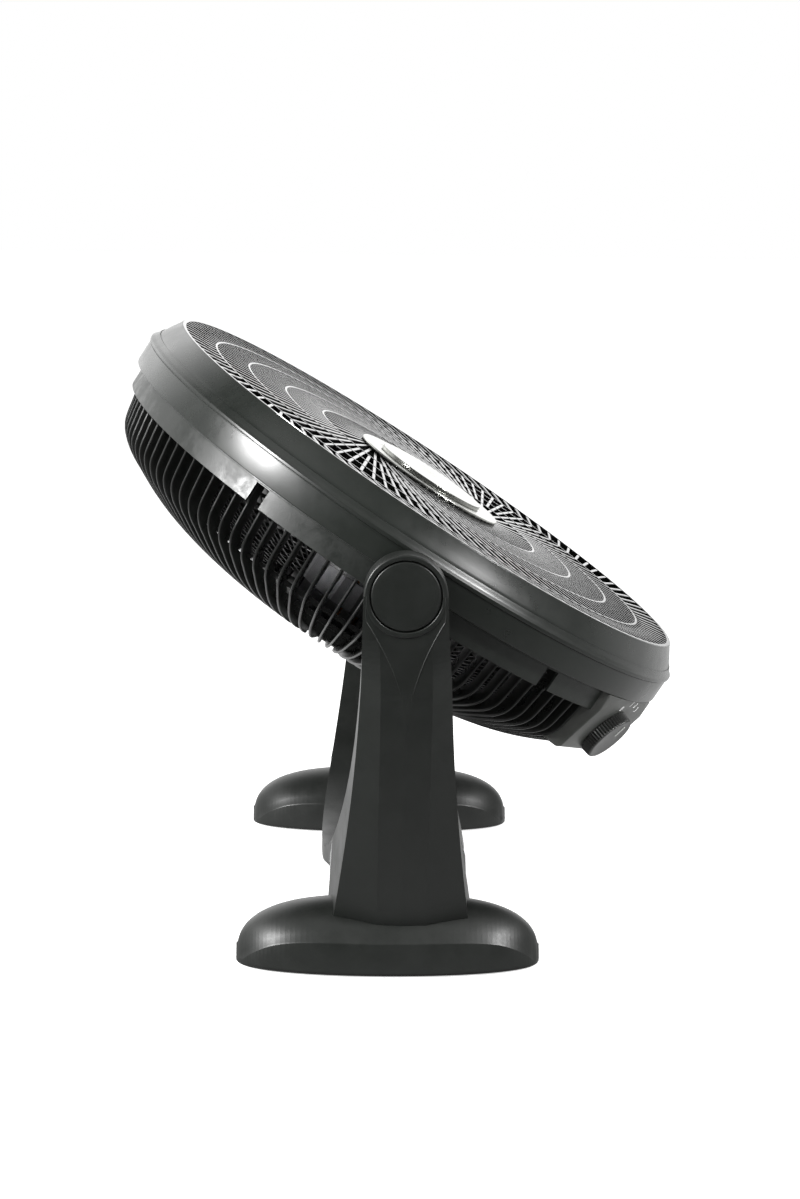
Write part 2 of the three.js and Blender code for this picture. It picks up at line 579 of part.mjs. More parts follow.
function motor() {
  const shell = (flat, rim, turn) => revolve([[9, flat], [MOTOR_R - 10, flat], [MOTOR_R, flat + turn * 9],
    [MOTOR_R, rim], [MOTOR_R - SHELL_T, rim], [MOTOR_R - SHELL_T, flat + turn * 10],
    [MOTOR_R - 11, flat + turn * SHELL_T], [9, flat + turn * SHELL_T]], 16)
  const holes = MOTOR_SCREWS.map((degrees) => screwHole(degrees, 2.3, MOTOR_BACK - 1, MOTOR_BACK + 4))
  add(head, 'motor_shell_rear', cut(shell(MOTOR_BACK, CORE_REAR, 1), ...holes), ALUMINIUM)
  add(head, 'motor_shell_front', shell(MOTOR_FRONT, CORE_FRONT + SEAT, -1), ALUMINIUM)
  add(head, 'stator_core', tube(STATOR_BORE_R, MOTOR_R + 1, CORE_REAR + SEAT, CORE_FRONT, 16), CORE_STEEL)
  const windings = [['rear', CORE_REAR, -1], ['front', CORE_FRONT + SEAT, 1]]
  for (const [name, base, way] of windings) {
    const [inner, outer] = [STATOR_BORE_R + 2, MOTOR_R - 6]
    add(head, `winding_${name}`, revolve([[inner, base], [outer, base], [outer, base + way * 9],
      [outer - 4, base + way * 13], [inner + 4, base + way * 13]], 14), COPPER)
  }
  const bearings = [['rear', MOTOR_BACK + SHELL_T + SEAT],
    ['front', MOTOR_FRONT - SHELL_T - SEAT - BEARING_H]]
  for (const [name, z] of bearings) {
    add(head, `bearing_${name}`, tube(SHAFT_R + RUN, BEARING_R, z, z + BEARING_H, 12), STEEL)
  }
  MOTOR_SCREWS.forEach((degrees, i) => {
    const screw = revolve([[0, BACK_Z - SEAT - 2.5], [4, BACK_Z - SEAT - 2.5], [4, BACK_Z - SEAT],
      [2, BACK_Z - SEAT], [2, MOTOR_BACK + SHELL_T + 2], [0, MOTOR_BACK + SHELL_T + 2]], 8)
    add(head, `motor_screw_${i + 1}`, screw.translate(MOTOR_SCREW_R, 0, 0).rotateZ(rad(degrees)), STEEL)
  })
  const can = block(24, 34, 30).translate(HUB_PLATE_R - 16, 0, BACK_Z + PLATE_T + SEAT + 15)
  add(head, 'capacitor', can.rotateZ(rad(90)), CAPACITOR_WHITE)
}

// ---------------------------------------------------------------- rotor
const HUB_REAR = MOTOR_FRONT + 6
const HUB_FRONT = 24

function bladeSkin(turn) {
  const stations = 5
  const rings = []
  for (let i = 0; i < stations; i++) {
    const t = i / (stations - 1)
    const radius = BLADE_HUB_R - 4 + (BLADE_R - BLADE_HUB_R + 4) * t
    const width = rad(62) * (1 - 0.32 * t)
    const sweep = turn + rad(26) * t ** 1.4
    const rise = 40 - 8 * t
    const thick = 1.6 - 0.5 * t
    const chord = [0, 0.5, 1].map((s) => {
      const belly = 7 * Math.sin(Math.PI * s)
      return [sweep + (s - 0.5) * width, -rise * (s - 0.5) + belly]
    })
    const face = (lift) => chord.map(([angle, z]) => polar(radius, angle, z + lift - 2))
    rings.push([...face(thick), ...face(-thick).reverse()])
  }
  return loft(rings)
}

function rotor() {
  add(head, 'rotor_shaft', revolve([[0, MOTOR_BACK + 1], [SHAFT_R, MOTOR_BACK + 1],
    [SHAFT_R, HUB_FRONT + 6], [0, HUB_FRONT + 6]], 12), STEEL)
  const core = tube(SHAFT_R + SEAT, STATOR_BORE_R - AIR_GAP, CORE_REAR + 1, CORE_FRONT - 1, 14)
  add(head, 'rotor_core', core, CORE_STEEL)
  const hub = revolve([[0, HUB_REAR + 8], [BLADE_HUB_R - 4, HUB_REAR + 8], [BLADE_HUB_R - 4, HUB_REAR],
    [BLADE_HUB_R, HUB_REAR], [BLADE_HUB_R, HUB_FRONT - 6], [BLADE_HUB_R - 6, HUB_FRONT],
    [0, HUB_FRONT]], 24)
  const blades = Array.from({ length: BLADE_COUNT }, (_, i) => bladeSkin((2 * Math.PI * i) / BLADE_COUNT))
  const bore = cylinder(SHAFT_R + SEAT, HUB_REAR - 5, HUB_FRONT + 5, 12)
  add(head, 'blade', cut(join(hub, ...blades), bore), BLADE_BLACK)
  const nut = revolve([[0, HUB_FRONT + 13], [9, HUB_FRONT + 11], [14, HUB_FRONT + 3],
    [14, HUB_FRONT + SEAT], [SHAFT_R + SEAT, HUB_FRONT + SEAT],
    [SHAFT_R + SEAT, HUB_FRONT + 6 + SEAT], [0, HUB_FRONT + 6 + SEAT]], 12)
  add(head, 'blade_nut', nut, BLADE_BLACK)
}

// ---------------------------------------------------------------- assembly
feet()
yoke()
drumRing()
frontGrille()
centreCap()
controls()
rearGrille()
motor()
rotor()

// The origin is under the middle of the whole fan, on the floor.
group.updateMatrixWorld(true)
const box = new THREE.Box3().setFromObject(group, true)
group.position.x = -(box.min.x + box.max.x) / 2
group.updateMatrixWorld(true)

export default group
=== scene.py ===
"""Air circulator fan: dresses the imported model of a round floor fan, piece by piece.

The head's pieces are drawn with +Z along the blowing direction and +X towards the head's lower
edge, then set in their place by one matrix. Lengths are in metres.
"""

import json
import math

import bmesh
import bpy
from mathutils import Matrix, Vector


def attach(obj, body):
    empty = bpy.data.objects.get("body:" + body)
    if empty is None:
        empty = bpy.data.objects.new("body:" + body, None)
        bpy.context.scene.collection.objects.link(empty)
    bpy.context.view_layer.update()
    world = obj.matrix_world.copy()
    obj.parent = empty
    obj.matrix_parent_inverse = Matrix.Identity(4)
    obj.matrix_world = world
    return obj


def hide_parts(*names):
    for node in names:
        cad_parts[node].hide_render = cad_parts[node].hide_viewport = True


bl_info = {
    "name": "Air Circulator Fan",
    "version": (1, 0, 0),
    "blender": (4, 5, 0),
    "location": "3D View > Sidebar > Fan",
    "description": "Builds the visible pieces of a tilting air circulator fan",
    "category": "Add Mesh",
}

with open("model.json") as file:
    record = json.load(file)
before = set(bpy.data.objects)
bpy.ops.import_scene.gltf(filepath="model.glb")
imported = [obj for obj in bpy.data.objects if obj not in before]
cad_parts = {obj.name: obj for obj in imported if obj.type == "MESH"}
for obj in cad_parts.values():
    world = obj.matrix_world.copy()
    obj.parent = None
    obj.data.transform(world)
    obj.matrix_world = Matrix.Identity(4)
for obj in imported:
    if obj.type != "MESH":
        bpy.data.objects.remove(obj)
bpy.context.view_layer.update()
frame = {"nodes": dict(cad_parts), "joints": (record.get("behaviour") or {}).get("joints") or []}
JOINTS = {joint["name"]: joint for joint in frame["joints"]}

MM = 0.001
FULL_TURN = 2 * math.pi
ROUND_STEPS = 256


# ---------------------------------------------------------------- where things are
def head_place():
    """Head terms to row terms: Z blows, X points at the head's lower edge."""
    blow = Vector(JOINTS["blade_spin"]["axis"]).normalized()
    across = Vector((0, 1, 0))
    down = across.cross(blow)
    turn = Matrix((down, across, blow)).transposed().to_4x4()
    return Matrix.Translation(JOINTS["blade_spin"]["pos_m"]) @ turn


HEAD = head_place()
PIVOT = Vector(JOINTS["head_tilt"]["pos_m"])
PANEL_TURN = math.radians(-30)
PANEL_LEAN = math.radians(13)
PANEL = HEAD @ Matrix.Rotation(PANEL_TURN, 4, "Z")
FLOOR = Matrix.Translation((PIVOT.x, 0, 0))
PIVOTS = Matrix.Translation(PIVOT)


# ---------------------------------------------------------------- sizes and colours
def length(name, description, value_mm):
    return bpy.props.FloatProperty(
        name=name, description=description, default=value_mm * MM, subtype="DISTANCE", unit="LENGTH",
        precision=5)


def angle(name, description, degrees):
    return bpy.props.FloatProperty(
        name=name, description=description, default=math.radians(degrees), subtype="ANGLE",
        unit="ROTATION")


def count(name, description, value):
    return bpy.props.IntProperty(name=name, description=description, default=value, min=1)


def share(name, description, value):
    return bpy.props.FloatProperty(
        name=name, description=description, default=value, min=0, max=1, subtype="FACTOR")


def colour(name, description, value):
    return bpy.props.FloatVectorProperty(
        name=name, description=description, default=value, size=3, min=0, max=1, subtype="COLOR")


class HeadSizes(bpy.types.PropertyGroup):
    drum_r: length("Drum radius", "Outer radius of the drum ring", 283)
    drum_front: length("Drum front", "Front edge of the drum ring", 32)
    drum_rear: length("Drum rear", "Rear edge of the drum ring", 5)
    rim_r: length("Rim radius", "Outer radius of the front rim", 267.5)
    rim_z: length("Rim height", "Front edge of the rim", 55.5)
    wall: length("Wall", "Thickness of the moulded walls", 2.5)


class GrilleSizes(bpy.types.PropertyGroup):
    long_bars: count("Long bars", "Bars that start at the cap", 55)
    bar_w: length("Bar width", "Width of a bar", 3.2)
    bar_d: length("Bar depth", "Depth of a bar", 5)
    ring_w: length("Ring width", "Width of a ring across the bars", 2.2)
    offset: length("Bar offset", "How far from the head's axis the straight bars pass", 58)
    hook: angle("Bar hook", "Turn of each bar past the last ring", 26)
    cap_r: length("Cap radius", "Radius of the centre cap", 74)
    short_start: length("Short bars' start", "Radius where the short bars start", 117)
    face_r: length("Face radius", "Edge of the flat face, where it turns down", 258)
    sink: length("Face depth", "Depth of the face's edge below the rim", 1.8)
    crown: length("Crown", "Rise of the face from there towards the cap", 1.2)


class BasketSizes(bpy.types.PropertyGroup):
    ribs: count("Ribs", "Ribs round the rear basket", 120)
    rib_w: length("Rib width", "Width of a rib", 2.8)
    rib_d: length("Rib depth", "Depth of a rib", 12)
    skirt_r: length("Skirt radius", "Outer radius of the solid skirt", 276)
    skirt_rear: length("Skirt rear", "Rear edge of the skirt", -16)
    slot_w: length("Slot width", "Width of a slot through the skirt", 14)
    plate_r: length("Plate radius", "Radius of the motor's plate", 88)
    bore_r: length("Bore radius", "Radius of the plate's middle hole", 30)
    back_z: length("Back", "Flat back of the basket", -108)
    plate_t: length("Plate thickness", "Thickness of the motor's plate", 5)


class ControlSizes(bpy.types.PropertyGroup):
    face_r: length("Face radius", "Distance of the panel's face from the head's axis", 272.5)
    knob_z: length("Knob place", "Place of the knob along the head's axis", -33)
    half: length("Half length", "Half of the panel's length round the head", 58)
    rear: length("Rear edge", "Rear edge of the panel", -60)
    depth: length("Depth", "How far the panel reaches into the basket", 25)
    knob_r: length("Knob radius", "Radius of the knob", 24.5)
    knob_h: length("Knob height", "Height of the knob", 11)
    flutes: count("Flutes", "Flutes round the knob", 54)
    numeral: length("Numeral height", "Height of the numbers by the knob", 6.2)


class YokeSizes(bpy.types.PropertyGroup):
    arm_in: length("Inner radius", "Inner radius of the yoke about the pivot", 292)
    arm_t: length("Bar thickness", "Thickness of the bar under the head", 22)
    boss_r: length("Boss radius", "Radius of the round top of an arm", 33.6)
    bar_half: length("Bar half width", "Half width of the bar under the head", 66.6)
    facet_half: length("Facet half width", "Half width of the flat facet down an arm", 21)
    bar_floor: length("Bar height", "From the floor to the bar under the head", 30)
    arm_foot_y: length("Arm foot", "Outer face of an arm at its foot", 232)
    recess: length("Cap recess", "Depth of the recess round a pivot cap", 4)


class FootSizes(bpy.types.PropertyGroup):
    place_x: length("Place along", "Middle of a foot from under the pivot", -8)
    place_y: length("Place across", "Middle of a foot from the fan's middle", 204)
    half_l: length("Half length", "Half length of a foot", 131)
    half_w: length("Half width", "Half width of a foot", 45)
    height: length("Height", "Height of a foot's dome", 58)
    wall_h: length("Wall height", "Height of a foot's upright side", 31)
    floor_gap: length("Floor gap", "Gap under a foot's edge", 1.5)


class BladeSizes(bpy.types.PropertyGroup):
    blades: count("Blades", "Number of blades", 5)
    radius: length("Radius", "Radius at the blades' tips", 240)
    hub_r: length("Hub radius", "Radius of the blade's hub", 46)
    hub_front: length("Hub front", "Front of the hub", 24)


class Finishes(bpy.types.PropertyGroup):
    black: colour("Body black", "Satin plastic of the drum, yoke and feet", (0.0100, 0.0120, 0.0102))
    grille: colour("Grille black", "Plastic of the two grilles", (0.0065, 0.0070, 0.0064))
    panel: colour("Panel grey", "Plastic of the control panel", (0.044, 0.046, 0.0425))
    silver: colour("Cap silver", "Bright finish of the centre cap", (0.46, 0.465, 0.44))
    knob: colour("Knob grey", "Plastic of the knob", (0.034, 0.035, 0.0335))
    blade: colour("Blade black", "Plastic of the blade", (0.020, 0.021, 0.020))
    print_white: colour("Print white", "Printed numbers", (0.80, 0.80, 0.80))
    rubber: colour("Rubber black", "Foot pads", (0.020, 0.020, 0.020))
    steel: colour("Zinc steel", "Bolts, nuts and washers", (0.62, 0.63, 0.65))
    motor: colour("Motor black", "Painted castings of the motor", (0.024, 0.025, 0.026))
    core: colour("Core steel", "Stacked steel of the motor", (0.30, 0.30, 0.31))
    copper: colour("Copper", "Windings", (0.62, 0.27, 0.11))
    light_plastic: colour("Light plastic", "Capacitor's can", (0.80, 0.81, 0.82))
    grey_plastic: colour("Grey plastic", "Switch body", (0.20, 0.20, 0.20))
    dust: share("Dust", "Amount of settled dust", 0.015)
    wear: share("Edge wear", "Amount of wear along edges", 0.15)


class StageSettings(bpy.types.PropertyGroup):
    floor_size: length("Floor size", "Half width of the floor", 12000)
    world_light: bpy.props.FloatProperty(
        name="World light", description="Strength of the even light", default=0.48, min=0)
    dark_side: bpy.props.FloatProperty(
        name="Dark side", description="Strength that shiny surfaces mirror from the dark side",
        default=0.07, min=0)
    key_light: bpy.props.FloatProperty(
        name="Key light", description="Power of the main lamp", default=92, min=0, unit="POWER")
    fill_light: bpy.props.FloatProperty(
        name="Fill light", description="Power of the filling lamp", default=56, min=0, unit="POWER")
    lens: bpy.props.FloatProperty(
        name="Lens", description="Focal length of the camera", default=67.586, min=1, unit="CAMERA")


class FanSettings(bpy.types.PropertyGroup):
    head: bpy.props.PointerProperty(type=HeadSizes)
    grille: bpy.props.PointerProperty(type=GrilleSizes)
    basket: bpy.props.PointerProperty(type=BasketSizes)
    control: bpy.props.PointerProperty(type=ControlSizes)
    yoke: bpy.props.PointerProperty(type=YokeSizes)
    foot: bpy.props.PointerProperty(type=FootSizes)
    blade: bpy.props.PointerProperty(type=BladeSizes)
    finish: bpy.props.PointerProperty(type=Finishes)
    stage: bpy.props.PointerProperty(type=StageSettings)


def fan():
    return bpy.context.scene.fan


# ---------------------------------------------------------------- shader node groups
def new_group(name, inputs, outputs):
    tree = bpy.data.node_groups.new(name, "ShaderNodeTree")
    for socket, kind, value in inputs:
        made = tree.interface.new_socket(socket, in_out="INPUT", socket_type=kind)
        if value is not None:
            made.default_value = value
    for socket, kind in outputs:
        tree.interface.new_socket(socket, in_out="OUTPUT", socket_type=kind)
    return tree, Wiring(tree), tree.nodes.new("NodeGroupInput"), tree.nodes.new("NodeGroupOutput")


class Wiring:
    """Adds nodes to a tree and joins them."""

    def __init__(self, tree):
        self.tree = tree

    def node(self, kind, settings=(), **inputs):
        made = self.tree.nodes.new(kind)
        for key, value in dict(settings).items():
            setattr(made, key, value)
        for key, value in inputs.items():
            self.feed(made.inputs[key.replace("_", " ")], value)
        return made

    def feed(self, socket, value):
        if isinstance(value, bpy.types.NodeSocket):
            self.tree.links.new(value, socket)
        else:
            socket.default_value = value

    def math(self, operation, first, second=0.0, clamp=False):
        made = self.tree.nodes.new("ShaderNodeMath")
        made.operation = operation
        made.use_clamp = clamp
        self.feed(made.inputs[0], first)
        self.feed(made.inputs[1], second)
        return made.outputs[0]

    def ramp(self, value, low, high, out_low=0.0, out_high=1.0):
        made = self.tree.nodes.new("ShaderNodeMapRange")
        made.interpolation_type = "SMOOTHSTEP"
        for socket, given in zip(made.inputs, (value, low, high, out_low, out_high)):
            self.feed(socket, given)
        return made.outputs["Result"]

    def mix(self, factor, first, second):
        made = self.tree.nodes.new("ShaderNodeMix")
        made.data_type = "RGBA"
        for name, given in (("Factor_Float", factor), ("A_Color", first), ("B_Color", second)):
            socket = next(s for s in made.inputs if s.identifier == name)
            self.feed(socket, given)
        return next(s for s in made.outputs if s.identifier == "Result_Color")


def moulded_grain_group():
    """Fine spark-eroded grain of a moulding, with its slow changes of gloss and tone."""
    tree, wire, given, out = new_group(
        "moulded_grain",
        [("Vector", "NodeSocketVector", None), ("Grain Scale", "NodeSocketFloat", 900.0),
         ("Patch Scale", "NodeSocketFloat", 9.0)],
        [("Height", "NodeSocketFloat"), ("Gloss", "NodeSocketFloat"), ("Tone", "NodeSocketFloat")])
    grain = wire.node("ShaderNodeTexNoise", Vector=given.outputs["Vector"],
                      Scale=given.outputs["Grain Scale"], Detail=3.0, Roughness=0.62)
    pits = wire.node("ShaderNodeTexVoronoi", Vector=given.outputs["Vector"],
                     Scale=given.outputs["Grain Scale"])
    patch = wire.node("ShaderNodeTexNoise", Vector=given.outputs["Vector"],
                      Scale=given.outputs["Patch Scale"], Detail=5.0, Roughness=0.55)
    smear = wire.node("ShaderNodeTexNoise", Vector=given.outputs["Vector"],
                      Scale=wire.math("MULTIPLY", given.outputs["Patch Scale"], 5.3), Detail=6.0,
                      Roughness=0.7)
    height = wire.math("ADD", grain.outputs[0], wire.math("MULTIPLY", pits.outputs["Distance"], 0.45))
    gloss = wire.math("ADD", wire.math("MULTIPLY", patch.outputs[0], 0.6),
                      wire.math("MULTIPLY", smear.outputs[0], 0.4))
    wire.feed(out.inputs["Height"], height)
    wire.feed(out.inputs["Gloss"], wire.ramp(gloss, 0.32, 0.68))
    wire.feed(out.inputs["Tone"], wire.ramp(smear.outputs[0], 0.3, 0.7))
    return tree


def settled_dust_group():
    """Dust that lies where a surface faces up, broken into soft patches."""
    tree, wire, given, out = new_group(
        "settled_dust",
        [("Vector", "NodeSocketVector", None), ("Amount", "NodeSocketFloat", 0.2)],
        [("Mask", "NodeSocketFloat")])
    normal = wire.node("ShaderNodeNewGeometry")
    split = wire.node("ShaderNodeSeparateXYZ", Vector=normal.outputs["Normal"])
    upward = wire.ramp(split.outputs["Z"], 0.15, 0.95)
    cloud = wire.node("ShaderNodeTexNoise", Vector=given.outputs["Vector"], Scale=38.0, Detail=6.0,
                      Roughness=0.72)
    specks = wire.node("ShaderNodeTexVoronoi", Vector=given.outputs["Vector"], Scale=420.0)
    speck = wire.ramp(specks.outputs["Distance"], 0.16, 0.05)
    film = wire.math("MULTIPLY", wire.ramp(cloud.outputs[0], 0.35, 0.75), upward)
    spots = wire.math("MULTIPLY", wire.math("MULTIPLY", speck, upward), 0.6)
    total = wire.math("MAXIMUM", film, spots)
    wire.feed(out.inputs["Mask"], wire.math("MULTIPLY", total, given.outputs["Amount"], clamp=True))
    return tree


def edge_wear_group():
    """Rubbed edges: where the surface bends outward, broken by noise."""
    tree, wire, given, out = new_group(
        "edge_wear",
        [("Vector", "NodeSocketVector", None), ("Amount", "NodeSocketFloat", 0.3)],
        [("Mask", "NodeSocketFloat")])
    bend = wire.node("ShaderNodeNewGeometry").outputs["Pointiness"]
    edge = wire.ramp(bend, 0.52, 0.62)
    breakup = wire.node("ShaderNodeTexNoise", Vector=given.outputs["Vector"], Scale=130.0, Detail=5.0,
                        Roughness=0.7)
    mask = wire.math("MULTIPLY", edge, wire.ramp(breakup.outputs[0], 0.35, 0.7))
    wire.feed(out.inputs["Mask"], wire.math("MULTIPLY", mask, given.outputs["Amount"], clamp=True))
    return tree


def fine_scratch_group():
    """Short hair scratches in two directions, for metal and glossy faces."""
    tree, wire, given, out = new_group(
        "fine_scratch",
        [("Vector", "NodeSocketVector", None), ("Scale", "NodeSocketFloat", 60.0)],
        [("Height", "NodeSocketFloat"), ("Mask", "NodeSocketFloat")])
    lines = []
    for turn in (0.4, 2.1):
        place = wire.node("ShaderNodeMapping", Vector=given.outputs["Vector"], Rotation=(0.3, turn, turn),
                          Scale=(1.0, 14.0, 1.0))
        noise = wire.node("ShaderNodeTexNoise", Vector=place.outputs[0], Scale=given.outputs["Scale"],
                          Detail=3.0, Roughness=0.6)
        lines.append(wire.ramp(noise.outputs[0], 0.6, 0.78))
    both = wire.math("MAXIMUM", *lines)
    wire.feed(out.inputs["Height"], both)
    wire.feed(out.inputs["Mask"], both)
    return tree


GROUPS = {}


def group(name):
    makers = {"moulded_grain": moulded_grain_group, "settled_dust": settled_dust_group,
              "edge_wear": edge_wear_group, "fine_scratch": fine_scratch_group}
    if name not in GROUPS:
        GROUPS[name] = makers[name]()
    return GROUPS[name]


# ---------------------------------------------------------------- materials
class Finish:
    """One material under way: its tree, its shader and the vector that patterns read."""

    def __init__(self, name):
        self.material = bpy.data.materials.new(name)
        self.material.use_nodes = True
        self.tree = self.material.node_tree
        self.wire = Wiring(self.tree)
        self.shader = self.tree.nodes["Principled BSDF"]
        coords = self.tree.nodes.new("ShaderNodeTexCoord")
        self.vector = coords.outputs["Object"]

    def use(self, name, **inputs):
        made = self.tree.nodes.new("ShaderNodeGroup")
        made.node_tree = group(name)
        self.tree.links.new(self.vector, made.inputs["Vector"])
        for key, value in inputs.items():
            self.wire.feed(made.inputs[key.replace("_", " ")], value)
        return made.outputs

    def set(self, **values):
        for key, value in values.items():
            self.wire.feed(self.shader.inputs[key.replace("_", " ")], value)

    def bump(self, height, strength, distance, before=None):
        made = self.wire.node("ShaderNodeBump", Height=height, Strength=strength, Distance=distance)
        if before is not None:
            self.wire.feed(made.inputs["Normal"], before)
        return made.outputs["Normal"]


def with_alpha(rgb, scale=1.0):
    return (rgb[0] * scale, rgb[1] * scale, rgb[2] * scale, 1.0)


DUST_TONE = (0.30, 0.29, 0.27, 1.0)


def moulded_plastic(name, rgb, gloss, rough, grain=900.0, bump=0.10, wear=1.0, dust=1.0, ior=1.5,
                    patch=9.0):
    """Satin moulding: gloss and rough are the roughness of its shiniest and dullest patches."""
    finish = fan().finish
    made = Finish(name)
    skin = made.use("moulded_grain", Grain_Scale=grain, Patch_Scale=patch)
    film = made.use("settled_dust", Amount=finish.dust * dust)
    worn = made.use("edge_wear", Amount=finish.wear * wear)
    base = made.wire.mix(skin["Tone"], with_alpha(rgb, 0.92), with_alpha(rgb, 1.08))
    base = made.wire.mix(worn["Mask"], base, with_alpha(rgb, 1.9))
    base = made.wire.mix(film["Mask"], base, DUST_TONE)
    dull = made.wire.ramp(skin["Gloss"], 0.0, 1.0, gloss, rough)
    dull = made.wire.math("ADD", dull, made.wire.math("MULTIPLY", film["Mask"], 0.5), clamp=True)
    made.set(Base_Color=base, Roughness=dull, IOR=ior,
             Normal=made.bump(skin["Height"], bump, 0.0002))
    return made.material


def bare_metal(name, rgb, rough, scratch=60.0, bump=0.15, grain=700.0, cut=0.2):
    made = Finish(name)
    skin = made.use("moulded_grain", Grain_Scale=grain, Patch_Scale=22.0)
    marks = made.use("fine_scratch", Scale=scratch)
    base = made.wire.mix(skin["Tone"], with_alpha(rgb, 0.86), with_alpha(rgb, 1.06))
    base = made.wire.mix(marks["Mask"], base, with_alpha(rgb, 1.2))
    dull = made.wire.ramp(skin["Gloss"], 0.0, 1.0, rough * 0.8, rough * 1.3)
    normal = made.bump(skin["Height"], bump, 0.0002)
    made.set(Base_Color=base, Roughness=dull, Metallic=1.0,
             Normal=made.bump(marks["Height"], cut, 0.0001, normal))
    return made.material


def banded(name, rgb, pitch, direction, metallic, rough, depth):
    """Fine bands along one direction: stacked sheets or wound wire."""
    made = Finish(name)
    skin = made.use("moulded_grain", Grain_Scale=500.0, Patch_Scale=30.0)
    along = made.wire.node("ShaderNodeVectorMath", settings={"operation": "DOT_PRODUCT"})
    made.wire.feed(along.inputs[0], made.vector)
    along.inputs[1].default_value = direction
    cycle = made.wire.math("MULTIPLY", along.outputs["Value"], FULL_TURN / pitch)
    band = made.wire.math("ADD", made.wire.math("MULTIPLY", made.wire.math("SINE", cycle), 0.5), 0.5)
    base = made.wire.mix(band, with_alpha(rgb, 0.55), with_alpha(rgb, 1.05))
    base = made.wire.mix(made.wire.math("MULTIPLY", skin["Tone"], 0.3), base, with_alpha(rgb, 0.7))
    dull = made.wire.ramp(skin["Gloss"], 0.0, 1.0, rough * 0.8, rough * 1.25)
    made.set(Base_Color=base, Roughness=dull, Metallic=metallic, Normal=made.bump(band, 0.8, depth))
    return made.material


MATERIALS = {}


def material(name):
    """A finish by name, made the first time that a piece asks for it."""
    finish = fan().finish
    blow = HEAD.to_3x3() @ Vector((0, 0, 1))
    makers = {
        "satin_black": lambda: moulded_plastic(name, finish.black, 0.25, 0.34, bump=0.10),
        "base_black": lambda: moulded_plastic(name, [0.7 * part for part in finish.black], 0.36, 0.48, bump=0.12),
        "grille_black": lambda: moulded_plastic(name, finish.grille, 0.09, 0.14, bump=0.02, wear=0.3,
                                                 dust=0.4, ior=1.7),
        "basket_black": lambda: moulded_plastic(name, finish.grille, 0.26, 0.36, bump=0.08, wear=0.4),
        "skirt_black": lambda: moulded_plastic(name, finish.black, 0.31, 0.50, bump=0.3, patch=26.0),
        "panel_grey": lambda: moulded_plastic(name, finish.panel, 0.34, 0.46, bump=0.16),
        "silver_cap": lambda: bare_metal(name, finish.silver, 0.24, bump=0.01, cut=0.01),
        "blade_black": lambda: moulded_plastic(name, finish.blade, 0.28, 0.40, bump=0.06),
        "knob_grey": lambda: moulded_plastic(name, finish.knob, 0.32, 0.44, bump=0.10),
        "knob_disc": lambda: moulded_plastic(name, [10 * part for part in finish.knob], 0.30, 0.40),
        "print_white": lambda: moulded_plastic(name, finish.print_white, 0.45, 0.55, bump=0.02, wear=0),
        "pad_rubber": lambda: moulded_plastic(name, finish.rubber, 0.72, 0.90, grain=500.0, bump=0.4),
        "switch_plastic": lambda: moulded_plastic(name, finish.grey_plastic, 0.45, 0.6, bump=0.1),
        "capacitor_plastic": lambda: moulded_plastic(name, finish.light_plastic, 0.4, 0.5, bump=0.05),
        "zinc_steel": lambda: bare_metal(name, finish.steel, 0.32),
        "motor_shell": lambda: moulded_plastic(name, finish.motor, 0.38, 0.52, grain=420.0, bump=0.4),
        "core_steel": lambda: banded(name, finish.core, 0.0006, blow, 1.0, 0.5, 0.0002),
        "copper_winding": lambda: banded(name, finish.copper, 0.0011, blow, 0.9, 0.38, 0.0004),
    }
    if name not in MATERIALS:
        MATERIALS[name] = makers[name]()
    return MATERIALS[name]


# ---------------------------------------------------------------- modelling helpers
def arc(middle, radius, start, end, steps):
    """Points on an arc in the profile plane, from one angle to the other, in degrees."""
    points = []
    for i in range(steps + 1):
        turn = math.radians(start + (end - start) * i / steps)
        points.append((middle[0] + radius * math.cos(turn), middle[1] + radius * math.sin(turn)))
    return points


def turned(shape, profile, steps=ROUND_STEPS, closed=True):
    """Spins a profile of (radius, height) points in millimetres about Z."""
    ring = bmesh.new()
    points = [ring.verts.new((radius * MM, 0, z * MM)) for radius, z in profile]
    pairs = list(zip(points, points[1:])) + ([(points[-1], points[0])] if closed else [])
    edges = [ring.edges.new(pair) for pair in pairs]
    bmesh.ops.spin(ring, geom=points + edges, axis=(0, 0, 1), cent=(0, 0, 0), angle=FULL_TURN,
                   steps=steps, use_merge=True, use_normal_flip=False, use_duplicate=False)
    bmesh.ops.remove_doubles(ring, verts=ring.verts, dist=1e-6)
    bmesh.ops.dissolve_degenerate(ring, edges=ring.edges, dist=1e-7)
    return add_in(shape, outward(ring))


def swept(shape, section, places):
    """Extrudes a flat section from place to place; a place is a 4x4 matrix."""
    corners = [shape.verts.new(places[0] @ Vector((x, y, 0))) for x, y in section]
    face = shape.faces.new(corners)
    for before, after in zip(places, places[1:]):
        made = bmesh.ops.extrude_face_region(shape, geom=[face])["geom"]
        moved = [part for part in made if isinstance(part, bmesh.types.BMVert)]
        bmesh.ops.transform(shape, matrix=after @ before.inverted(), verts=moved)
        face = next(part for part in made if isinstance(part, bmesh.types.BMFace))
    return shape


def lofted(shape, rings):
    """Extrudes a first ring of points and moves it onto each further ring, closed at both ends."""
    corners = [shape.verts.new(point) for point in rings[0]]
    face = shape.faces.new(corners)
    for ring in rings[1:]:
        made = bmesh.ops.extrude_face_region(shape, geom=[face])["geom"]
        face = next(part for part in made if isinstance(part, bmesh.types.BMFace))
        for corner, point in zip(face.verts, ring):
            corner.co = point
    return shape


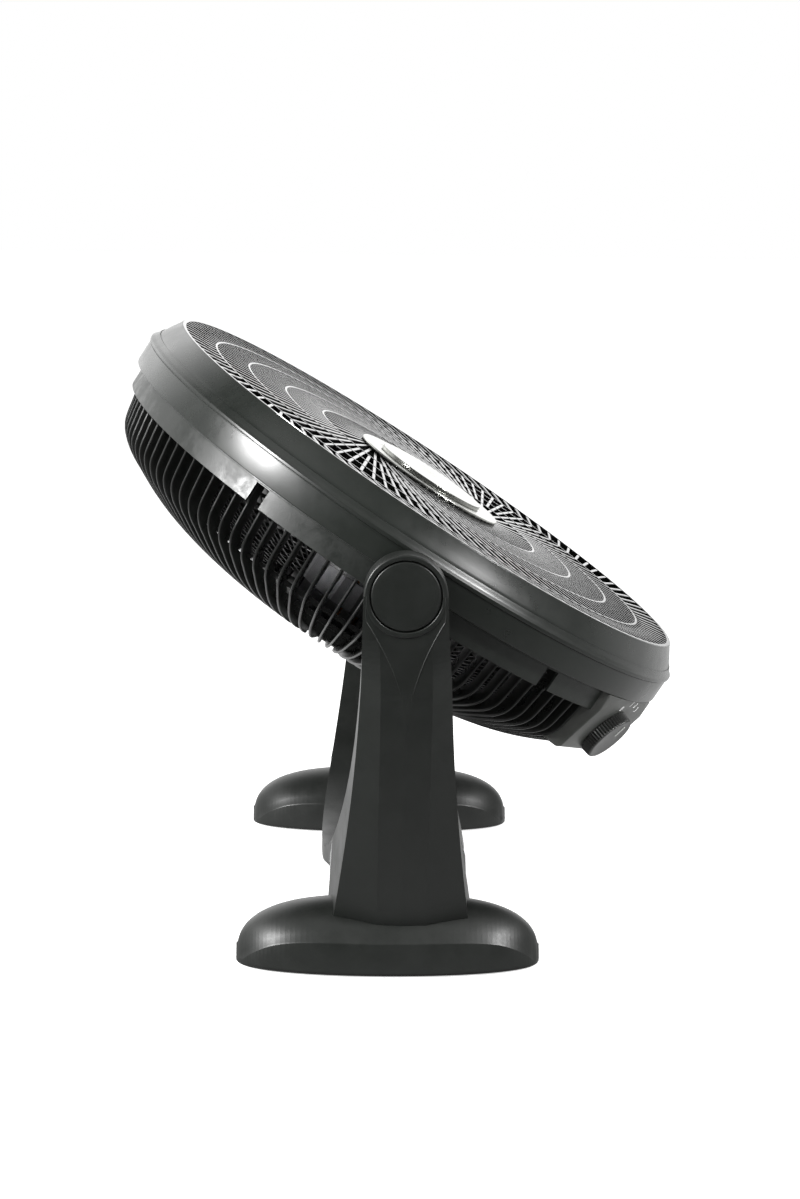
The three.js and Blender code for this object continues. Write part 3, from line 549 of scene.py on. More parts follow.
def patterned(shape, copies, pitch=None):
    """Repeats everything in the shape round Z, at a pitch in degrees or evenly all round."""
    parts = shape.verts[:] + shape.edges[:] + shape.faces[:]
    step = math.radians(pitch) if pitch else FULL_TURN / copies
    bmesh.ops.spin(shape, geom=parts, axis=(0, 0, 1), cent=(0, 0, 0), angle=step * (copies - 1),
                   steps=copies - 1, use_merge=False, use_normal_flip=False, use_duplicate=True)
    return shape


def turned_part(profile, start, end, corner=0.0):
    """Spins a closed profile from one angle to another, in degrees, with closed ends.

    A corner, in millimetres, rounds the ends' lowest edges."""
    shape = bmesh.new()
    points = [shape.verts.new((radius * MM, 0, z * MM)) for radius, z in profile]
    face = shape.faces.new(points)
    steps = max(2, round(end - start))
    bmesh.ops.spin(shape, geom=[face], axis=(0, 0, 1), cent=(0, 0, 0), angle=math.radians(end - start),
                   steps=steps, use_merge=False, use_normal_flip=False, use_duplicate=False)
    if corner:
        low = min(z for _, z in profile) * MM + 1e-6
        ends = (0.0, math.radians(end - start))
        edges = [edge for edge in shape.edges if all(
            corner.co.z < low and min(abs(math.atan2(corner.co.y, corner.co.x) - turn) for turn in ends) < 1e-4
            for corner in edge.verts)]
        bmesh.ops.bevel(shape, geom=edges, offset=corner * MM, offset_type="OFFSET", segments=5,
                        profile=0.5, affect="EDGES", material=-1, clamp_overlap=True)
    bmesh.ops.rotate(shape, verts=shape.verts, cent=(0, 0, 0), matrix=Matrix.Rotation(math.radians(start), 3, "Z"))
    return outward(shape)


def smoothed(path, steps=4):
    """A path of (radius, height) points with Catmull-Rom points put between them."""
    points = [Vector(point) for point in path]
    ends = [2 * points[0] - points[1], *points, 2 * points[-1] - points[-2]]
    made = []
    for i in range(len(points) - 1):
        before, start, end, after = ends[i:i + 4]
        for j in range(steps):
            t = j / steps
            made.append(tuple(0.5 * (2 * start + (end - before) * t + (2 * before - 5 * start + 4 * end - after)
                                     * t ** 2 + (3 * start - before - 3 * end + after) * t ** 3)))
    return [*made, tuple(points[-1])]


def softened(shape, offset, bend=30, segments=2, keep=None):
    """Bevels the edges that bend by more than some degrees."""
    limit = math.radians(bend)
    edges = [edge for edge in shape.edges
             if len(edge.link_faces) == 2 and edge.calc_face_angle(0) > limit and (keep is None or keep(edge))]
    bmesh.ops.bevel(shape, geom=edges, offset=offset * MM, offset_type="OFFSET", segments=segments,
                    profile=0.5, affect="EDGES", material=-1, clamp_overlap=True)
    return shape


def outward(shape):
    bmesh.ops.recalc_face_normals(shape, faces=shape.faces)
    return shape


def add_in(shape, other, place=Matrix.Identity(4)):
    """Adds another shape to this one, moved by a matrix, and frees it."""
    mesh = bpy.data.meshes.new("part")
    other.to_mesh(mesh)
    other.free()
    mesh.transform(place)
    if place.determinant() < 0:
        mesh.flip_normals()
    shape.from_mesh(mesh)
    bpy.data.meshes.remove(mesh)
    return shape


def post(radius, low, high, steps=64, edge=0.0):
    """A round post along Z, in millimetres, with softened ends."""
    shape = bmesh.new()
    bmesh.ops.create_cone(shape, cap_ends=True, segments=steps, radius1=radius * MM, radius2=radius * MM,
                          depth=(high - low) * MM, matrix=Matrix.Translation((0, 0, (low + high) / 2 * MM)))
    if edge:
        softened(shape, edge, 60, 3)
    return shape


def brick(x, y, z, edge=0.0):
    """A block of these sides about its middle, in millimetres, with softened edges."""
    shape = bmesh.new()
    bmesh.ops.create_cube(shape, size=1.0, matrix=Matrix.Diagonal((x * MM, y * MM, z * MM, 1)))
    if edge:
        softened(shape, edge, 60, 3)
    return shape


def shift(x, y, z):
    return Matrix.Translation((x * MM, y * MM, z * MM))


def spin_z(degrees):
    return Matrix.Rotation(math.radians(degrees), 4, "Z")


def along_y(side):
    """Turns a shape drawn along Z so that it runs along Y, to the near (-1) or far (1) side."""
    return Matrix.Rotation(-side * math.pi / 2, 4, "X")


def finished(name, shape, place, finish, body, replaces=(), smooth=35):
    """Makes the piece's object at the origin, with its place in its mesh."""
    mesh = bpy.data.meshes.new(name)
    shape.to_mesh(mesh)
    shape.free()
    mesh.transform(place)
    mesh.shade_smooth()
    mesh.set_sharp_from_angle(angle=math.radians(smooth))
    mesh.materials.append(material(finish))
    piece = bpy.data.objects.new(name, mesh)
    bpy.context.scene.collection.objects.link(piece)
    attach(piece, body)
    if replaces:
        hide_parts(*replaces)
    return piece


def without(shape, *tools):
    """The shape with the tools cut out of it, as a new shape."""
    def as_object(part, name):
        mesh = bpy.data.meshes.new(name)
        part.to_mesh(mesh)
        part.free()
        made = bpy.data.objects.new(name, mesh)
        bpy.context.scene.collection.objects.link(made)
        return made

    body = as_object(shape, "cut_body")
    cutters = [as_object(tool, "cut_tool") for tool in tools]
    for cutter in cutters:
        change = body.modifiers.new("cut", "BOOLEAN")
        change.operation = "DIFFERENCE"
        change.solver = "EXACT"
        change.object = cutter
    bpy.context.view_layer.update()
    ready = body.evaluated_get(bpy.context.evaluated_depsgraph_get())
    result = bmesh.new()
    result.from_mesh(ready.to_mesh())
    ready.to_mesh_clear()
    for made in [body, *cutters]:
        mesh = made.data
        bpy.data.objects.remove(made)
        bpy.data.meshes.remove(mesh)
    return result


# ---------------------------------------------------------------- front grille
RINGS = (116.0, 156.3, 195.7, 230.4)


def smoothstep(value, low, high):
    t = min(1.0, max(0.0, (value - low) / (high - low)))
    return t * t * (3 - 2 * t)


def face_height(radius):
    """Height of the front face, in millimetres, at a radius in millimetres."""
    sizes = fan().grille
    edge = sizes.face_r / MM
    return (fan().head.rim_z - sizes.sink + sizes.crown * (1 - (radius / edge) ** 2)) / MM


def bar_point(radius, z=None):
    """A point on the first bar: straight past the axis as far as the last ring, then turned outward."""
    grille = fan().grille
    offset, bend = grille.offset / MM, RINGS[-1]
    turn = -math.asin(offset / min(radius, bend))
    if radius > bend:
        hooked = bend * math.sin(math.asin(offset / bend) + grille.hook)
        turn = grille.hook - math.asin(hooked / radius)
    height = face_height(radius) + 1.4 * smoothstep(radius, 234, 259) if z is None else z
    return Vector((radius * math.cos(turn), radius * math.sin(turn), height)) * MM


def bar_places(start):
    """Places along one bar, from a start radius in millimetres out to the rim."""
    grille, head = fan().grille, fan().head
    face_r, rim_r, rim_z = grille.face_r / MM, head.rim_r / MM, head.rim_z / MM
    bend = RINGS[-1]
    points = [bar_point(start + (bend - 6 - start) * i / 4) for i in range(5)]
    first, corner, last = bar_point(bend - 6), bar_point(bend), bar_point(bend + 6)
    for t in (0.25, 0.5, 0.75, 1.0):
        points.append(first.lerp(corner, t).lerp(corner.lerp(last, t), t))
    points += [bar_point(radius) for radius in (bend + 13, bend + 20, face_r)]
    points += [bar_point(rim_r - 4.4, rim_z - 0.35), bar_point(rim_r - 3.2, rim_z - 0.5)]
    places = []
    for i, point in enumerate(points):
        ahead = (points[min(i + 1, len(points) - 1)] - points[max(i - 1, 0)]).normalized()
        across = Vector((0, 0, 1)).cross(ahead).normalized()
        up = ahead.cross(across).normalized()
        basis = Matrix((across, up, ahead)).transposed().to_4x4()
        places.append(Matrix.Translation(point) @ basis)
    return places


def bar_section():
    grille = fan().grille
    half, deep = grille.bar_w / 2, grille.bar_d
    chamfer = 0.35 * MM
    return [(-half * 0.7, -deep), (-half, -chamfer * 2), (-half + chamfer * 0.6, -chamfer * 0.4),
            (-half + chamfer * 1.6, 0), (half - chamfer * 1.6, 0), (half - chamfer * 0.6, -chamfer * 0.4),
            (half, -chamfer * 2), (half * 0.7, -deep)]


class FAN_OT_front_grille(bpy.types.Operator):
    """Front grille: straight hooked bars, rings and the rim that drops into the drum"""

    bl_idname = "fan.front_grille"
    bl_label = "Front grille"

    def execute(self, context):
        grille, head = fan().grille, fan().head
        rim_r, rim_z = head.rim_r / MM, head.rim_z / MM
        skirt_r = head.drum_r / MM - 4
        shape = bmesh.new()
        for start, turn in ((grille.cap_r / MM - 4, 0), (grille.short_start / MM, 180 / grille.long_bars)):
            bar = swept(bmesh.new(), bar_section(), bar_places(start))
            if turn:
                bar.faces.ensure_lookup_table()
                bmesh.ops.bevel(bar, geom=bar.faces[0].edges[:], offset=0.9 * MM, offset_type="OFFSET",
                                segments=2, profile=0.5, affect="EDGES", material=-1)
            patterned(outward(bar), grille.long_bars)
            add_in(shape, bar, spin_z(turn))
        for radius in RINGS:
            half, top = grille.ring_w / MM / 2, face_height(radius) + 0.2
            turned(shape, [(radius - half, top - 4.4), (radius - half, top - 0.2), (radius - half + 0.2, top),
                           (radius + half - 0.2, top), (radius + half, top - 0.2), (radius + half, top - 4.4)])
        inner, outer = grille.cap_r / MM - 15, grille.cap_r / MM - 2
        top = face_height(inner) - 0.2
        turned(shape, [(inner, top - 3), (outer, top - 3), (outer, top), (inner, top)])
        low = head.drum_front / MM - 6
        turned(shape, [(rim_r - 4, rim_z - 4), (rim_r - 4, rim_z - 0.2), (rim_r - 3.8, rim_z),
                       (rim_r - 0.5, rim_z), (rim_r - 0.5, rim_z - 1.5), (rim_r - 2.4, rim_z - 4)])
        finished("front_grille_bars", outward(shape), HEAD, "grille_black", "head", ["front_grille"],
                 20)
        rim = turned(bmesh.new(), [
            (rim_r - 2.4, rim_z - 4), (rim_r - 0.6, rim_z - 0.25), *arc((rim_r - 0.7, rim_z - 1.3), 1.1, 80, 20, 3),
            (rim_r + 1.0, rim_z - 2.6), (skirt_r - 4.2, low + 17), (skirt_r - 2.2, low + 13.4),
            (skirt_r - 0.6, low + 10.8), (skirt_r, low + 8.4), (skirt_r, low), (skirt_r - 2.5, low),
            (skirt_r - 2.5, low + 9)])
        finished("front_grille_rim", rim, HEAD, "satin_black", "head", ["front_grille"], 35)
        return {"FINISHED"}


class FAN_OT_centre_cap(bpy.types.Operator):
    """Centre cap: a broad rim ring, a groove and a raised disc"""

    bl_idname = "fan.centre_cap"
    bl_label = "Centre cap"

    def execute(self, context):
        outer = fan().grille.cap_r / MM
        seat = face_height(outer - 12) + 0.3
        inner = outer - 21
        shape = turned(bmesh.new(), [
            (0, seat), (outer - 1, seat), *arc((outer - 1.8, seat + 1.3), 1.4, -30, 65, 5),
            (outer - 1.6, seat + 2.6), (outer - 6, seat + 2.5), (outer - 12, seat + 2.3), (inner + 4.2, seat + 2.1),
            (inner + 3.6, seat + 2.1), *arc((inner + 3.4, seat + 1.8), 0.3, 90, 170, 6), (inner + 1.8, seat + 1.3),
            (0, seat + 1.3)],
            closed=False)
        finished("centre_cap_ring", outward(shape), HEAD, "silver_cap", "head", ["centre_cap"])
        base = seat + 2.1
        shape = turned(bmesh.new(), [
            (0, base), (inner, base), *arc((inner - 0.5, base + 3.3), 0.5, 0, 84, 6),
            (inner - 0.9, base + 3.83), (inner - 8, base + 4.05), (inner - 16, base + 4.25),
            (inner - 25, base + 4.4), (inner - 36, base + 4.5), (0, base + 4.53)], closed=False)
        finished("centre_cap_dome", outward(shape), HEAD, "silver_cap", "head", ["centre_disc"])
        return {"FINISHED"}


# ---------------------------------------------------------------- drum ring
class FAN_OT_drum_ring(bpy.types.Operator):
    """Drum ring: the plain band, its front bead and the two pivot bosses"""

    bl_idname = "fan.drum_ring"
    bl_label = "Drum ring"

    def execute(self, context):
        head = fan().head
        radius, front, rear = head.drum_r / MM, head.drum_front / MM, head.drum_rear / MM
        inner = radius - head.wall / MM - 0.5
        shape = turned(bmesh.new(), [
            (inner, rear), *arc((radius - 0.8, rear + 0.8), 0.8, -90, 0, 3), (radius, front - 5.4),
            (radius - 0.35, front - 5.2), (radius - 0.35, front - 4.8), *arc((radius + 0.2, front - 3.8), 1.0, -60, 0, 3),
            *arc((radius + 0.4, front - 2.0), 0.8, 0, 40, 4), (radius - 0.6, front - 0.2), (radius - 1.8, front + 1.4),
            (radius - 2.6, front + 2.9), (radius - 3.7, front + 4.6), (radius - 3.9, front + 4.6), (inner - 2, front + 2)])
        face = (fan().yoke.arm_in / MM) - 2.1
        for side in (-1, 1):
            add_in(shape, post(17, radius - 20, face, 64, 0.8), along_y(side))
        finished("drum_band", outward(shape), HEAD, "satin_black", "head", ["drum_ring"], 40)
        return {"FINISHED"}


# ---------------------------------------------------------------- rear basket
BASKET_PATH = ((270, -18.8), (268.2, -30), (264, -48), (253, -60.5), (237, -70), (219, -79.6), (200, -87.6),
               (176, -95), (150, -100.6), (120, -104.6), (88, -107.6))
SLOTS = (-120, -57.5, 57.5, 120, 180)
RIB_RINGS = (246, 222, 205, 191, 178, 166, 154, 142, 130, 118, 106)


def basket_places(path):
    """Places along one rib, with its outer face to the outside of the basket."""
    points = [Vector((radius, 0, z)) * MM for radius, z in path]
    places = []
    for i, point in enumerate(points):
        ahead = (points[min(i + 1, len(points) - 1)] - points[max(i - 1, 0)]).normalized()
        across = Vector((0, 1, 0))
        up = ahead.cross(across).normalized()
        if up.x < 0 and up.z > 0 or up.z > 0.5:
            up = -up
            across = -across
        basis = Matrix((across, up, ahead)).transposed().to_4x4()
        places.append(Matrix.Translation(point) @ basis)
    return places


def rib_section():
    basket = fan().basket
    half, deep = basket.rib_w / 2, basket.rib_d
    return [(-half * 0.7, -deep), (-half, -half * 1.2), (-half * 0.75, -half * 0.35), (-half * 0.3, 0),
            (half * 0.3, 0), (half * 0.75, -half * 0.35), (half, -half * 1.2), (half * 0.7, -deep)]


def panel_shape(grow=0.0, steps=1):
    """The control panel's body in panel terms: X outward from the head's axis, Y round the head."""
    control, head = fan().control, fan().head
    top, bottom = head.drum_rear / MM - 0.3 + grow, control.rear / MM - grow
    half, middle = control.half / MM + grow, control.knob_z / MM

    def face_at(z):
        return control.face_r / MM + (z - middle) * math.tan(PANEL_LEAN) + grow

    deep = control.face_r / MM - control.depth / MM - grow
    outline = [(face_at(top), top), (face_at(bottom), bottom + 3), (face_at(bottom) - 4, bottom),
               (deep, bottom), (deep, top)]
    rings = [[Vector((x, y, z)) * MM for x, z in outline] for y in (-half, half)]
    return lofted(bmesh.new(), rings)


class FAN_OT_rear_basket(bpy.types.Operator):
    """Rear grille: the slotted skirt, the ribs, their inner rings and the motor's plate"""

    bl_idname = "fan.rear_basket"
    bl_label = "Rear basket"

    def execute(self, context):
        self.skirt()
        self.ribs()
        return {"FINISHED"}

    def skirt(self):
        basket, control, head = fan().basket, fan().control, fan().head
        skirt_r, rear, wall = basket.skirt_r / MM, basket.skirt_rear / MM, head.wall / MM
        front = head.drum_rear / MM
        collar = head.drum_r / MM - wall - 1.7
        slot_top = front - 3
        shape = turned(bmesh.new(), [(collar - wall, front + 0.2), (collar, front + 0.2), (collar, front + 5),
                                     (collar - wall, front + 5)], 360)
        shoulder = [(collar - wall, slot_top + 1.2), (collar - wall, front + 0.2), (collar, front + 0.2),
                    (collar, front - 0.4), (skirt_r - 0.8, front - 1.2), (skirt_r - 0.2, front - 1.6),
                    (skirt_r, front - 2.2), (skirt_r, slot_top), (skirt_r - wall, slot_top)]
        side = [(skirt_r - wall, slot_top), (skirt_r, slot_top), (skirt_r, rear + 0.4), (skirt_r - 0.4, rear),
                (skirt_r - wall, rear)]
        panel = (math.degrees(PANEL_TURN), math.degrees(math.asin((control.half / MM + 0.3) / skirt_r)))
        pivots = [(turn, 3.75) for turn in (-90, 90)]
        slots = [(turn, math.degrees(math.asin(basket.slot_w / MM / 2 / skirt_r))) for turn in SLOTS]
        for profile, gaps, corner in ((shoulder, [panel, *pivots], 0), (side, [panel, *pivots, *slots], 3.2)):
            gaps = sorted(gaps)
            for (before, half_before), (after, half_after) in zip(gaps, gaps[1:] + [gaps[0]]):
                end = after - half_after + (360 if after <= before else 0)
                add_in(shape, turned_part(profile, before + half_before, end, corner))
        finished("rear_skirt", shape, HEAD, "skirt_black", "head", ["rear_grille"], 30)

    def ribs(self):
        basket, control = fan().basket, fan().control
        shape = bmesh.new()
        pitch = 360 / basket.ribs
        full = [(272.6, 1.5), (272.6, -6), (272.4, -14), *smoothed(BASKET_PATH)]
        low = control.rear / MM - 0.4
        below = [(radius, z) for radius, z in full if z < low - 0.5]
        below.insert(0, (below[0][0] + 2.4, low))
        hidden = math.degrees(math.asin((control.half / MM + 1) / 253))
        middle = math.degrees(PANEL_TURN)
        first = math.ceil((middle - hidden) / pitch - 0.5)
        last = math.floor((middle + hidden) / pitch - 0.5)
        for start, copies, path in ((first, last - first + 1, below),
                                    (last + 1, basket.ribs - (last - first + 1), full)):
            for odd in (0, 1):
                begin = start + (start + odd) % 2
                count = (start + copies - begin + 1) // 2
                rib = outward(swept(bmesh.new(), rib_section(), basket_places(path[:-7] if odd else path)))
                add_in(shape, patterned(rib, count, 2 * pitch), spin_z((begin + 0.5) * pitch))
        for radius in RIB_RINGS:
            z = next(z1 + (z0 - z1) * (radius - r1) / (r0 - r1)
                     for (r0, z0), (r1, z1) in zip(full, full[1:]) if r1 <= radius <= r0 and r0 > r1)
            z += basket.rib_d / MM - 3
            turned(shape, [(radius - 1.2, z - 2), (radius - 1.2, z + 2), (radius + 1.2, z + 2),
                           (radius + 1.2, z - 2)], 240)
        plate_r, bore, back = basket.plate_r / MM, basket.bore_r / MM, basket.back_z / MM
        add_in(shape, turned(bmesh.new(), [
            (bore, back + 0.6), (bore + 0.6, back), (plate_r + 3, back), (plate_r + 5, back + 1.2),
            (plate_r + 5, back + 5), (bore, back + 5)]))
        finished("rear_ribs", outward(shape), HEAD, "basket_black", "head", ["rear_grille"], 35)


class FAN_OT_hub_cover(bpy.types.Operator):
    """Hub cover: the round cover and screws in the middle of the back"""

    bl_idname = "fan.hub_cover"
    bl_label = "Hub cover"

    def execute(self, context):
        basket = fan().basket
        bore, back = basket.bore_r / MM, basket.back_z / MM - 0.3
        shape = turned(bmesh.new(), [
            (0, back - 4.4), (14, back - 4.3), (24, back - 3.8), *arc((bore - 1, back - 2.4), 1.4, -110, -190 + 360, 1),
            (bore + 2, back - 1.2), (bore + 2, back), (bore - 2, back), (bore - 2, back + 4), (0, back + 4)],
            128, closed=False)
        finished("hub_cover_dome", outward(shape), HEAD, "satin_black", "head", ["rear_hub_cover"])
        for i, turn in enumerate((45, 135, 225, 315)):
            screw = turned(bmesh.new(), [(0, -2.5), (2.6, -2.3), (4, -1.2), (4, 0), (2, 0), (2, 12), (0, 12)], 48,
                           closed=False)
            slots = [add_in(bmesh.new(), brick(5.2, 1.0, 2.4), spin_z(way) @ shift(0, 0, -2.6)) for way in (0, 90)]
            place = HEAD @ spin_z(turn) @ shift(37, 0, back)
            finished(f"motor_screw_head_{i + 1}", without(outward(screw), *slots), place, "zinc_steel", "head",
                     [f"motor_screw_{i + 1}"])
        return {"FINISHED"}


# ---------------------------------------------------------------- controls
class FAN_OT_control_panel(bpy.types.Operator):
    """Control panel: its body under the drum's edge"""

    bl_idname = "fan.control_panel"
    bl_label = "Control panel"

    def execute(self, context):
        control, head = fan().control, fan().head
        outside = turned(bmesh.new(), [(head.drum_r / MM, -80), (head.drum_r / MM + 60, -80),
                                       (head.drum_r / MM + 60, 20), (head.drum_r / MM, 20)], 360)
        body = add_in(bmesh.new(), outward(panel_shape()), Matrix.Rotation(PANEL_TURN, 4, "Z"))
        body = without(body, outward(outside))
        softened(body, 1.2, 28, 3)
        finished("control_panel", body, HEAD, "panel_grey", "head", ["control_housing"], 40)
        return {"FINISHED"}


def knob_place():
    control = fan().control
    return (PANEL @ Matrix.Translation((control.face_r, 0, control.knob_z))
            @ Matrix.Rotation(math.pi / 2 + PANEL_LEAN, 4, "Y"))


class FAN_OT_knob(bpy.types.Operator):
    """Knob: the fluted grip, its face disc and pointer"""

    bl_idname = "fan.knob"
    bl_label = "Knob"

    def execute(self, context):
        control = fan().control
        radius, height, flutes = control.knob_r / MM, control.knob_h / MM, control.flutes

        def ring(size, z, bite):
            points = []
            for i in range(flutes * 6):
                turn = FULL_TURN * i / (flutes * 6)
                wave = 0.5 + 0.5 * math.cos(turn * flutes)
                reach = size - bite * (1 - wave ** 0.8)
                points.append(Vector((reach * math.cos(turn), reach * math.sin(turn), z)) * MM)
            return points

        grip = lofted(bmesh.new(), [
            ring(radius, 0.6, 2.0), ring(radius, 1.2, 2.0), ring(radius - 0.5, height - 2.6, 2.0),
            ring(radius - 0.9, height - 1.4, 0.7), ring(radius - 1.6, height - 0.5, 0.1),
            ring(radius - 2.4, height, 0), ring(radius - 3.4, height - 0.1, 0), ring(radius - 4, height - 0.8, 0),
            ring(radius - 4.1, height - 2.8, 0)])
        add_in(grip, post(4, -20, 1.5, 32))
        finished("knob_grip", outward(grip), knob_place(), "knob_grey", "knob", ["knob"], 40)
        face = turned(bmesh.new(), [(0, height - 2.6), (radius - 4.4, height - 2.6), (radius - 4.6, height - 1.6),
                                    (radius - 5.2, height - 1.2), (radius - 8, height - 0.9), (0, height - 0.5)],
                      128, closed=False)
        add_in(face, brick(12, 2.2, 1.2, 0.4), shift(-11, 0, height))
        finished("knob_disc", outward(face), knob_place(), "knob_disc", "knob", ["knob_face"])
        return {"FINISHED"}


# Where each number stands: its angle round the knob, in degrees, and its distance, in millimetres.
NUMBERS = ((203, 30), (177, 34.5), (158, 36.5), (139, 39))


class FAN_OT_numerals(bpy.types.Operator):
    """Numbers printed on the panel round the knob"""

    bl_idname = "fan.numerals"
    bl_label = "Numerals"

    def execute(self, context):
        control = fan().control
        for i, (turn, reach) in enumerate(NUMBERS):
            text = bpy.data.curves.new(f"number_{i}", "FONT")
            text.body = str(i)
            text.size = control.numeral * 1.35
            text.extrude = 0.1 * MM
            text.align_x = "CENTER"
            text.align_y = "CENTER"
            helper = bpy.data.objects.new(f"number_{i}", text)
            bpy.context.scene.collection.objects.link(helper)
            bpy.context.view_layer.update()
            mesh = bpy.data.meshes.new_from_object(helper)
            bpy.data.objects.remove(helper)
            shape = bmesh.new()
            shape.from_mesh(mesh)
            bpy.data.meshes.remove(mesh)
            place = knob_place() @ spin_z(turn) @ shift(reach, 0, 0.12) @ spin_z(90 - turn)
            finished(f"number_{i}", shape, place, "print_white", "head", ())
        return {"FINISHED"}


# ---------------------------------------------------------------- yoke
def arm_face(z):
    """Outer face of an arm at a height, in millimetres: it leans in towards its foot."""
    yoke = fan().yoke
    outer = (yoke.arm_in + yoke.arm_t) / MM
    low = yoke.bar_floor / MM
    down = max(0.0, (PIVOT.z / MM - z) / (PIVOT.z / MM - low))
    return outer - (outer - yoke.arm_foot_y / MM) * down ** 1.7


def yoke_reach(turn, foot_start):
    """Distance from the pivot to the yoke's outer face, at an angle from straight down."""
    yoke = fan().yoke
    outer = (yoke.arm_in + yoke.arm_t) / MM
    if turn < foot_start:
        return outer
    to_floor = (PIVOT.z / MM - yoke.bar_floor / MM) / max(math.cos(turn), 1e-6)
    reach = outer
    for _ in range(30):
        reach = arm_face(PIVOT.z / MM - reach * math.cos(turn)) / max(math.sin(turn), 1e-6)
    return min(to_floor, reach)


def yoke_ring(turn, foot_start, side):
    yoke = fan().yoke
    inner = yoke.arm_in / MM
    outer = yoke_reach(turn, foot_start)
    lift = math.cos(turn)
    half = yoke.boss_r / MM + (yoke.bar_half - yoke.boss_r) / MM * lift ** 2.25
    on_arm = smoothstep(turn, foot_start - 0.01, foot_start + 0.01)
    fade = on_arm * smoothstep(math.pi / 2 - turn, 0.04, 0.28)
    under = 9 * (1 - smoothstep(turn, foot_start - 0.2, foot_start + 0.05))
    shoulder = outer - under - 12.1 * fade
    edge = half + on_arm * (yoke.boss_r / MM + 12 * lift + 36.5 * lift ** 4 - half)
    # The flat at the top ends in two curved creases that meet at the middle ridge.
    gone = min(1.0, max(0.0, (math.pi / 2 - turn - 0.05) / 0.33))
    crease = max(0.8, min(edge - 2.4, edge * (1 - gone) ** 2))
    facet = max(crease + 1.2, yoke.facet_half / MM + (edge - under - yoke.facet_half / MM) * (1 - on_arm))
    bead = 0.35 * on_arm * smoothstep(crease, 2, 9)
    slant = outer - 0.055 * on_arm * (facet - crease)
    right = [(crease - 0.4, outer), (crease, outer + bead), (crease + 0.4, outer - 0.03), (facet, slant),
             (edge, shoulder), (half, inner)]
    lean = 2 * fade
    points = right + [(-x, r) for x, r in reversed(right)]
    return [Vector((x + (lean if r > inner else 0), side * r * math.sin(turn), PIVOT.z / MM - r * math.cos(turn))) * MM
            for x, r in points]


class FAN_OT_yoke(bpy.types.Operator):
    """Yoke: the U-shaped moulding with a facet down each arm and a round boss at each end"""

    bl_idname = "fan.yoke"
    bl_label = "Yoke"

    def execute(self, context):
        yoke, foot = fan().yoke, fan().foot
        inner, outer = yoke.arm_in / MM, (yoke.arm_in + yoke.arm_t) / MM
        foot_start = math.asin((foot.place_y - foot.half_w + 4 * MM) / (yoke.arm_in + yoke.arm_t))
        stations = 96
        turns = [math.pi / 2 * i / stations for i in range(stations + 1)]
        turns = sorted(turns + [foot_start - 0.001, foot_start + 0.001])
        rings = [yoke_ring(turn, foot_start, -1) for turn in reversed(turns)]
        rings += [yoke_ring(turn, foot_start, 1) for turn in turns[1:]]
        body = outward(lofted(bmesh.new(), rings))
        boss_r = yoke.boss_r / MM
        recess_r, floor = boss_r - 4.4, outer - yoke.recess / MM
        for side in (-1, 1):
            place = PIVOT_ONLY @ along_y(side)
            recess = add_in(bmesh.new(), post(recess_r, floor - 2, outer + 6, 128), place)
            body = without(body, outward(recess))
            add_in(body, turned(bmesh.new(), [
                (0, inner), (boss_r, inner), *arc((boss_r - 1.7, outer - 1.7), 1.7, 0, 90, 9),
                *arc((recess_r + 0.9, outer - 0.9), 0.9, 90, 180, 9), (recess_r, floor), (0, floor)],
                128, closed=False), place)
        finished("yoke_body", outward(body), FLOOR, "base_black", "base", ["yoke"], 13)
        for side, word in ((-1, "near"), (1, "far")):
            back, crown = outer - yoke.recess / MM, outer - 0.2
            cap = turned(bmesh.new(), [
                (0, back + 0.2), (recess_r - 1.2, back + 0.2), *arc((recess_r - 2.6, crown - 1.4), 1.4, 0, 80, 8),
                (boss_r - 12, crown + 0.2), (0, crown + 0.5)], 128, closed=False)
            finished(f"pivot_cap_dome_{word}", outward(cap), PIVOTS @ along_y(side), "base_black", "base",
                     [f"pivot_cap_{word}"])
        return {"FINISHED"}


PIVOT_ONLY = Matrix.Translation((0, 0, PIVOT.z))


# ---------------------------------------------------------------- feet
def foot_ring(turn):
    """One cross-section of a foot, in millimetres, at an angle from one end to the other."""
    foot = fan().foot
    x = foot.half_l / MM * math.sin(turn)
    end = abs(math.sin(turn))
    half = max(foot.half_w / MM * max(math.cos(turn), 0) ** 0.75, 7)
    crest = max(foot.wall_h / MM * (1 - end ** 6), 7)
    top = max(foot.height / MM * max(1 - end ** 3, 0) ** (1 / 3), 16)
    low = foot.floor_gap / MM
    right = [(half - 1.8, low), (half - 1.8, low + 2.6), (half, low + 3.0), (half - 0.2, crest - 0.9),
             (half - 0.5, crest - 0.2), (half - 1.3, crest + 0.5)]
    steps = 10
    for i in range(1, steps):
        lie = i / steps
        right.append(((half - 1.3) * (1 - lie), crest + 0.5 + (top - crest - 0.5) * (1 - (1 - lie) ** 2) ** 0.9))
    left = [(-y, z) for y, z in right]
    ring = left + [(0, top)] + list(reversed(right))
    return [Vector((x, y, z)) * MM for y, z in ring]


class FAN_OT_feet(bpy.types.Operator):
    """Feet: two long loaf-shaped mouldings"""

    bl_idname = "fan.feet"
    bl_label = "Feet"

    def execute(self, context):
        foot = fan().foot
        steps = 72
        for side, word in ((-1, "near"), (1, "far")):
            rings = [foot_ring(-math.pi / 2 + math.pi * i / steps) for i in range(steps + 1)]
            shape = outward(lofted(bmesh.new(), rings))
            place = FLOOR @ Matrix.Translation((foot.place_x, side * foot.place_y, 0))
            finished(f"foot_shell_{word}", shape, place, "base_black", "base", [f"foot_{word}"], 28)
        return {"FINISHED"}


